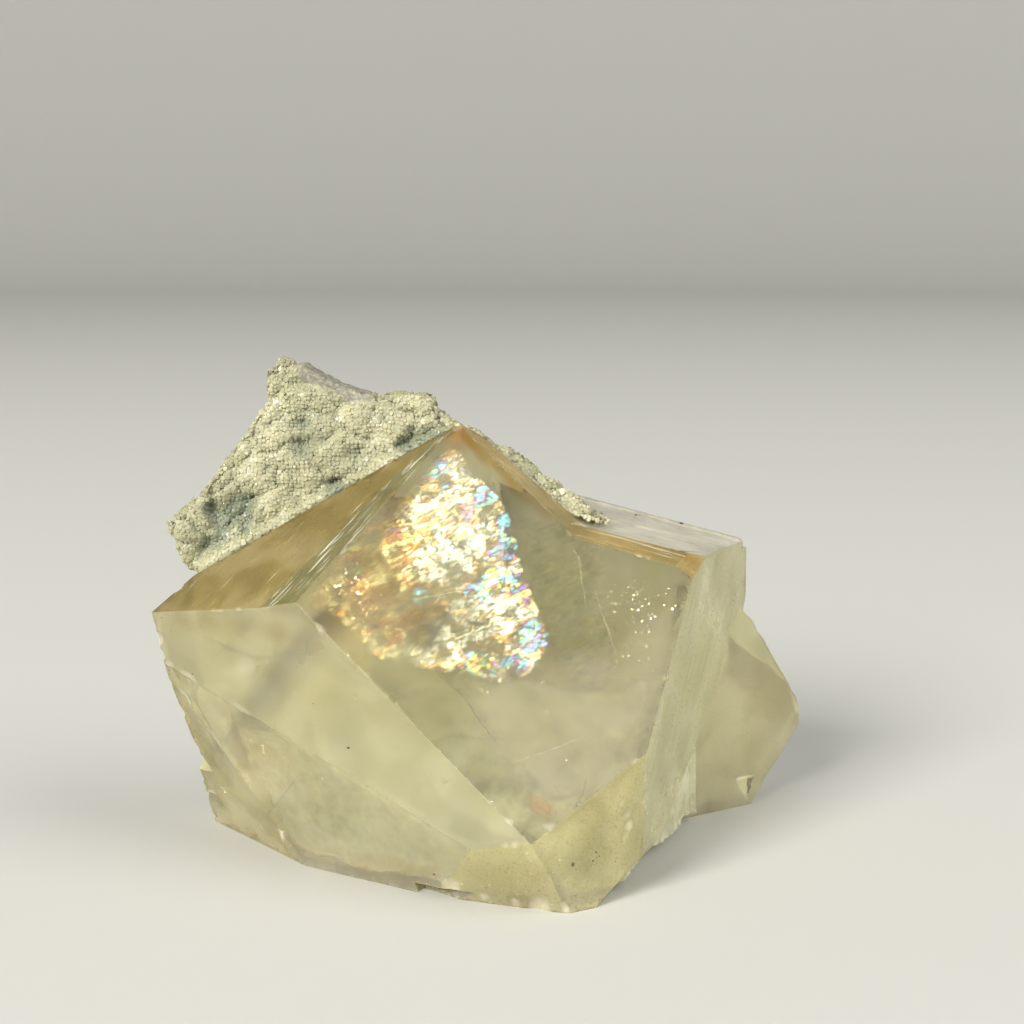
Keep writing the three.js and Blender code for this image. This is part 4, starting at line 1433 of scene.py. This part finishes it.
stoneLook = {
    "voxel": 0.5,            # mm, fineness of the stone's own mesh
    "sink": 0.27,            # how far the stone lies under the tips of its crystals
    "lumps": ((5.4, 1.6), (2.3, 0.5)),      # width and height of the rounded lumps
    "contactReach": (0.4, 1.3),             # mm from the calcite where the relief fades in
    "growFrom": (0.3, 0.5),                 # and where the small crystals begin
    # hollows in the crust: middle, reach and depth, mm
    "hollows": [((-34.4, -2.0, 43.2), 3.6, 1.5), ((-31.6, -1.7, 45.6), 2.4, 1.3),
                ((-36.6, -2.5, 39.8), 2.2, 1.0), ((-11.4, 0.6, 52.6), 2.6, 1.5),
                ((-8.4, 1.4, 53.4), 2.4, 1.0), ((-20.4, -0.8, 46.6), 2.2, 1.4),
                ((-25.2, -0.4, 52.0), 1.6, 0.9), ((-24.8, 0.0, 55.4), 1.5, 0.9),
                ((-15.2, 1.0, 55.0), 1.8, 0.8), ((-29.3, -1.3, 49.6), 1.4, 0.7),
                ((-17.6, 0.4, 51.5), 1.5, 0.7)],
    "ragged": 0.5,           # how far a hollow's rim strays, as a share of its reach
    "grit": (0.12, 0.9),     # height and size
    "bend": 0.9,             # mm that the pattern of lumps is pushed about
    "pull": 0.12,            # mm that the whole stone lies inside its solid
    "clearGround": 0.1,      # mm, the lowest that its foot reaches
    "brokenRim": ((-26.5, -15.0), 57.8),    # x range and lowest z of the rim that broke clean
    "rimSteps": (0.5, 2.6),                 # height and size
    "rimGrit": (0.22, 1.2),
    "crust": (0.35, 0.345, 0.21, 1),
    # also used as painted shade, in the hollows and in the creases between the lumps
    "deep": (0.20, 0.235, 0.165, 1),
    "white": (0.52, 0.49, 0.315, 1),
    "rim": (0.20, 0.185, 0.16, 1),
    "cloudSize": 9.0,
    "grainSize": 0.5,
    "glow": {"Subsurface Weight": 0.25, "Subsurface Radius": (1.0, 0.9, 0.6), "Subsurface Scale": 0.0012},
}

druseLook = {
    "frontSpacing": 0.475,   # mm between crystals
    "backSpacing": 0.66,
    "size": (0.4, 0.86),     # smallest and largest, as a share of the crystal shapes
    "tilt": 0.4,             # most that one leans, radians
    "soften": 0.8,           # how far the shading follows the lumps under the crystals
    "seed": 5,
    # radius, height of the shoulder and of the tip above the surface, and how far the tip leans, mm
    "shapes": {"a": (0.46, 0.08, 0.36, 0.06), "b": (0.58, 0.05, 0.30, 0.12), "c": (0.36, 0.16, 0.54, 0.08)},
    "root": 0.3,             # mm that each reaches into the stone
    "cloudSize": 8.0,
    "glow": {"Subsurface Weight": 0.5, "Subsurface Radius": (1.0, 0.95, 0.85), "Subsurface Scale": 0.0004},
}


def domes(points, size, seed):
    # 1 at the top of round lumps, 0 in the creases between them
    near, further, number = cellNoise(points, size, seed)
    inward = np.clip((further - near) / 0.55, 0, 1)
    return np.sqrt(1 - (1 - inward) ** 2) * (0.7 + 0.3 * number)


def pointValues(mesh, name):
    # one row for each point: name is co or normal
    flat = np.empty(len(mesh.vertices) * 3, np.float32)
    mesh.vertices.foreach_get(name, flat)
    return flat.reshape(-1, 3).astype(float)


def bake(piece):
    # the evaluated shape as a plain mesh, with the modifiers gone
    depsgraph = bpy.context.evaluated_depsgraph_get()
    mesh = bpy.data.meshes.new_from_object(piece.evaluated_get(depsgraph), preserve_all_data_layers=True,
                                           depsgraph=depsgraph)
    piece.modifiers.clear()
    piece.data = mesh
    mesh.name = piece.name
    return piece


def distanceTo(node, points):
    # mm from each point to the surface of a node of the frame
    shape = bmesh.new()
    shape.from_mesh(frame["nodes"][node].data)
    tree = BVHTree.FromBMesh(shape)
    shape.free()
    return np.array([tree.find_nearest(Vector(p * mm))[3] for p in points]) / mm


def cadLow(node):
    # the low corner of a node's box, mm
    return np.array(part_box(node)[0]) / mm


def makeStone():
    look = stoneLook
    merged = bmesh.new()
    merged.from_mesh(frame["nodes"]["chalcedony"].data)
    bmesh.ops.remove_doubles(merged, verts=merged.verts, dist=calciteLook["clean"] * mm)
    mesh = bpy.data.meshes.new("chalcedonyStone")
    merged.to_mesh(mesh)
    merged.free()
    piece = bpy.data.objects.new("chalcedonyStone", mesh)
    bpy.context.scene.collection.objects.link(piece)
    remesh = piece.modifiers.new("even", "REMESH")
    remesh.mode = "VOXEL"
    remesh.voxel_size = look["voxel"] * mm
    bake(piece)
    points, normals = pointValues(piece.data, "co") / mm, pointValues(piece.data, "normal")
    free = fade(distanceTo("calcite", points), *look["contactReach"])
    hollow = np.zeros(len(points))
    for middle, reach, depth in look["hollows"]:
        away = np.linalg.norm(points - np.array(middle), axis=1)
        away = away + look["ragged"] * reach * smoothNoise(points, 1.6, 91)
        hollow = np.maximum(hollow, depth * (1 - fade(away, 0.25 * reach, reach)))
    (rimLeft, rimRight), rimLow = look["brokenRim"]
    broken = fade(points[:, 0], rimLeft, rimLeft + 2) * (1 - fade(points[:, 0], rimRight - 2, rimRight))
    broken *= fade(points[:, 2], rimLow, rimLow + 1.2) * fade(normals[:, 2], 0.3, 0.6)
    grit, gritSize = look["grit"]
    steps, stepSize = look["rimSteps"]
    rimGrit, rimGritSize = look["rimGrit"]
    lift = grit * smoothNoise(points, gritSize, 93)
    # how far each point lies in a crease between the lumps, used for painted shade there
    crease = np.zeros(len(points))
    bent = points + np.stack([smoothNoise(points, 3.0, 201 + k) for k in range(3)], axis=1) * look["bend"]
    for number, (size, height) in enumerate(look["lumps"]):
        dome = domes(bent, size, 95 + number)
        lift += height * (dome - 1) * (1 - 0.8 * broken)
        crease += (1 - number * 0.5) * (1 - fade(dome, 0.1, 0.55))
    crease = np.clip(crease, 0, 1)
    lift += broken * steps * (terraces(points, stepSize, 97, 3) - 1)
    lift += broken * rimGrit * cloudNoise(points, rimGritSize, 99)
    lift -= hollow + look["sink"] * (1 - 0.55 * broken)
    points += normals * (lift * free - look["pull"])[:, None]
    points[:, 2] = np.maximum(points[:, 2], cadLow("chalcedony")[2] + look["clearGround"])
    piece.data.vertices.foreach_set("co", (points * mm).astype(np.float32).ravel())
    piece.data.update()
    piece.data.polygons.foreach_set("use_smooth", np.full(len(piece.data.polygons), True))
    growing = fade(distanceTo("calcite", pointValues(piece.data, "co") / mm), *look["growFrom"])
    setAttribute(piece.data, "druse", "POINT", growing * (broken < 0.35))
    # the hollows and the creases drive painted shade in the materials
    setAttribute(piece.data, "hollow", "POINT", np.clip(hollow, 0, 1))
    setAttribute(piece.data, "crease", "POINT", crease * free)
    setAttribute(piece.data, "rim", "POINT", broken)
    return piece


def crystalShapes():
    # a few stubby six-sided points, in a collection that only feeds the druse
    shelf = bpy.data.collections.new("druseShapes")
    root = -druseLook["root"]
    for name, (radius, shoulder, tip, lean) in druseLook["shapes"].items():
        turns = np.arange(6) * math.pi / 3
        ring = np.stack([radius * np.cos(turns), radius * np.sin(turns)], axis=1)
        low = np.column_stack([ring * 0.92, np.full(6, root)])
        high = np.column_stack([ring, shoulder + lean * np.array([1, -1, 1, -1, 1, -1])])
        vertices = np.concatenate([low, high, [[lean, lean * 0.5, tip]], [[0, 0, root]]])
        faces = []
        for i, j in zip(range(6), (1, 2, 3, 4, 5, 0)):
            faces += [(i, j, 6 + j, 6 + i), (6 + i, 6 + j, 12), (j, i, 13)]
        crystal = makeObject("druseShape" + name, vertices, faces, smooth=False)
        bpy.context.scene.collection.objects.unlink(crystal)
        shelf.objects.link(crystal)
    return shelf


class GeometryBoard(Wiring):
    # the same for a geometry node group
    def random(self, kind, low, high, seed):
        first, output = {"FLOAT_VECTOR": (0, 0), "FLOAT": (2, 1), "INT": (4, 2)}[kind]
        values = {first: low, first + 1: high, "Seed": seed}
        return self.add("FunctionNodeRandomValue", values, data_type=kind).outputs[output]

    def store(self, geometry, name, value, kind="FLOAT"):
        node = self.add("GeometryNodeStoreNamedAttribute", domain="INSTANCE", data_type=kind)
        return self.feed(node, {"Geometry": geometry, "Name": name, "Value": value}).outputs[0]


def druseTree(shelf, material):
    # crystals scattered on a surface; Side is 1 for the front half of the plate and -1 for the back half
    tree = bpy.data.node_groups.new("druseOnSurface", "GeometryNodeTree")
    kinds = {"Surface": "Geometry", "Spacing": "Float", "Smallest": "Float", "Largest": "Float",
             "Tilt": "Float", "Side": "Float", "Seed": "Int"}
    for name, kind in kinds.items():
        tree.interface.new_socket(name, in_out="INPUT", socket_type="NodeSocket" + kind)
    tree.interface.new_socket("Druse", in_out="OUTPUT", socket_type="NodeSocketGeometry")
    board = GeometryBoard(tree)
    given = board.add("NodeGroupInput").outputs

    where = board.add("GeometryNodeInputNamedAttribute", {"Name": "druse"}).outputs["Attribute"]
    normal = board.add("ShaderNodeSeparateXYZ", {0: board.add("GeometryNodeInputNormal").outputs[0]})
    onSide = board.add("ShaderNodeMath", {0: normal.outputs["Y"], 1: given["Side"]}, operation="MULTIPLY")
    chosen = board.add("FunctionNodeCompare", {"A": onSide.outputs[0], "B": 0.25}, operation="LESS_THAN")
    scatter = board.add("GeometryNodeDistributePointsOnFaces", {
        "Mesh": given["Surface"],
        "Selection": chosen.outputs[0],
        "Distance Min": given["Spacing"],
        "Density Max": 1e8,      # as dense as the spacing lets it be
        "Density Factor": where,
        "Seed": given["Seed"],
    }, distribute_method="POISSON")

    tilts = board.add("ShaderNodeCombineXYZ", {"X": given["Tilt"], "Y": given["Tilt"], "Z": 1})
    lean = board.add("ShaderNodeVectorMath", {0: board.random("FLOAT_VECTOR", (-1, -1, -4), (1, 1, 4), 1),
                                              1: tilts.outputs[0]}, operation="MULTIPLY")
    turn = board.add("FunctionNodeEulerToRotation", {0: lean.outputs[0]})
    rotate = board.add("FunctionNodeRotateRotation", {"Rotation": scatter.outputs["Rotation"],
                                                      "Rotate By": turn.outputs[0]}, rotation_space="LOCAL")
    shapes = board.add("GeometryNodeCollectionInfo", {"Collection": shelf, "Separate Children": True,
                                                      "Reset Children": True})
    placed = board.add("GeometryNodeInstanceOnPoints", {
        "Points": scatter.outputs["Points"],
        "Instance": shapes.outputs[0],
        "Pick Instance": True,
        "Instance Index": board.random("INT", 0, len(shelf.objects) - 1, 2),
        "Rotation": rotate.outputs[0],
        "Scale": board.random("FLOAT", given["Smallest"], given["Largest"], 3),
    }).outputs[0]

    placed = board.store(placed, "shade", board.random("FLOAT", 0.0, 1.0, 4))
    placed = board.store(placed, "stoneNormal", scatter.outputs["Normal"], "FLOAT_VECTOR")
    realize = board.add("GeometryNodeRealizeInstances", {0: placed})
    paint = board.add("GeometryNodeSetMaterial", {"Geometry": realize.outputs[0], "Material": material})
    board.feed(board.add("NodeGroupOutput"), {"Druse": paint.outputs[0]})
    return tree


def makeDruse(name, stone, tree, side, spacing):
    piece = bpy.data.objects.new(name, stone.data.copy())
    bpy.context.scene.collection.objects.link(piece)
    grow = piece.modifiers.new("druse", "NODES")
    grow.node_group = tree
    smallest, largest = druseLook["size"]
    values = {"Spacing": spacing * mm, "Smallest": smallest, "Largest": largest, "Tilt": druseLook["tilt"],
              "Side": side, "Seed": druseLook["seed"]}
    for socket in tree.interface.items_tree:
        if socket.name in values:
            grow[socket.identifier] = values[socket.name]
    return bake(piece)


def chalcedonyMaterial():
    look = stoneLook
    board = Board("druseChalcedony")
    place = board.place()
    hollow, rim = board.attribute("hollow"), board.attribute("rim")
    cloud = board.noise(place, look["cloudSize"], 3.0)
    grain = board.noise(place, look["grainSize"], 3.0, 0.6)
    colour = board.mix(board.spread(cloud, 0.35, 0.65), look["crust"], look["white"])
    colour = board.mix(board.spread(grain, 0.35, 0.7, 0.0, 0.3), colour, look["deep"])
    # painted shade: darker in the hollows and in the creases between the lumps
    colour = board.mix(board.math("MAXIMUM", hollow, board.times(board.attribute("crease"), 0.4)),
                       colour, look["deep"])
    colour = board.mix(board.times(rim, board.spread(grain, 0.3, 0.65, 0.2, 1.0)), colour, look["rim"])
    return board.finish({
        "Base Color": colour,
        "Roughness": board.spread(grain, 0.3, 0.7, 0.3, 0.6),
        "Normal": board.bump(grain, 0.2, 0.8),
        **look["glow"],
    })


def druseMaterial():
    look = stoneLook
    board = Board("druseCrystals")
    shade = board.attribute("shade")
    cloud = board.noise(board.place(), druseLook["cloudSize"], 3.0)
    colour = board.mix(board.spread(cloud, 0.35, 0.65), look["crust"], look["white"])
    colour = board.mix(board.spread(shade, 0.0, 1.0, 0.0, 0.2), colour, look["white"])
    colour = board.mix(board.spread(shade, 0.35, 0.0, 0.0, 0.12), colour, look["deep"])
    # painted shade: the crystals are darker in the hollows and in the creases between the lumps
    colour = board.mix(board.math("MAXIMUM", board.times(board.attribute("hollow"), 0.75),
                                  board.times(board.attribute("crease"), 0.35)), colour, look["deep"])
    own = board.add("ShaderNodeNewGeometry").outputs["Normal"]
    under = board.attribute("stoneNormal", "Vector")
    # the shading leans towards the stone's own, where the two look nearly the same way
    alike = board.add("ShaderNodeVectorMath", {0: own, 1: under}, operation="DOT_PRODUCT").outputs["Value"]
    share = board.spread(alike, 0.25, 0.8, 0.0, druseLook["soften"])
    both = board.add("ShaderNodeMix", {0: share, 4: own, 5: under}, data_type="VECTOR").outputs[1]
    return board.finish({
        "Base Color": colour,
        "Roughness": board.spread(shade, 0.6, 1.0, 0.5, 0.2),
        "Normal": board.add("ShaderNodeVectorMath", {0: both}, operation="NORMALIZE").outputs[0],
        **druseLook["glow"],
    })


stone = makeStone()
stone.data.materials.append(chalcedonyMaterial())
growth = druseTree(crystalShapes(), druseMaterial())
druseFront = makeDruse("druseFront", stone, growth, 1, druseLook["frontSpacing"])
druseBack = makeDruse("druseBack", stone, growth, -1, druseLook["backSpacing"])
shelf = bpy.data.collections["druseShapes"]
for shape in list(shelf.objects):
    bpy.data.objects.remove(shape)
bpy.data.collections.remove(shelf)
print("chalcedony", len(stone.data.polygons), len(druseFront.data.polygons), len(druseBack.data.polygons))


studio = {
    "floorReach": 2600.0,    # mm from the middle to where the sweep starts to rise
    "sweep": 1000.0,         # radius of the rise
    "wallTop": 1700.0,
    "rings": (150.0, 600.0, 1500.0),        # on the way to there
    "sweepSteps": 12,
    "sides": 64,
    "cloth": (0.60, 0.60, 0.565, 1),
}


def makeFloor():
    # a round sweep: a flat floor that curves up into a low wall all the way round
    reach, radius, count = studio["floorReach"], studio["sweep"], studio["sides"]
    rings = [(ring, 0.0) for ring in (*studio["rings"], reach)]
    for turn in np.linspace(0, math.pi / 2, studio["sweepSteps"] + 1)[1:]:
        rings.append((reach + radius * math.sin(turn), radius * (1 - math.cos(turn))))
    rings.append((rings[-1][0], studio["wallTop"]))
    turns = np.arange(count) * 2 * math.pi / count
    vertices = [(0.0, 0.0, 0.0)]
    for ring, height in rings:
        vertices += [(ring * math.cos(t), ring * math.sin(t), height) for t in turns]
    faces = [(0, 1 + i, 1 + (i + 1) % count) for i in range(count)]
    for start in range(1, 1 + count * (len(rings) - 1), count):
        for i in range(count):
            a, b = start + i, start + (i + 1) % count
            faces.append((a, a + count, b + count, b))
    floor = makeObject("floor", np.array(vertices), faces)
    floor.data.materials.append(Board("paleFloor").finish({"Base Color": studio["cloth"], "Roughness": 0.8}))
    return floor


floor = makeFloor()

for sealed in sealedPieces:
    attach(sealed, "root")
for crust in (stone, druseFront, druseBack):
    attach(crust, "root")
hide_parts("chalcedony")
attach(calcite, "root")
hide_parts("calcite")
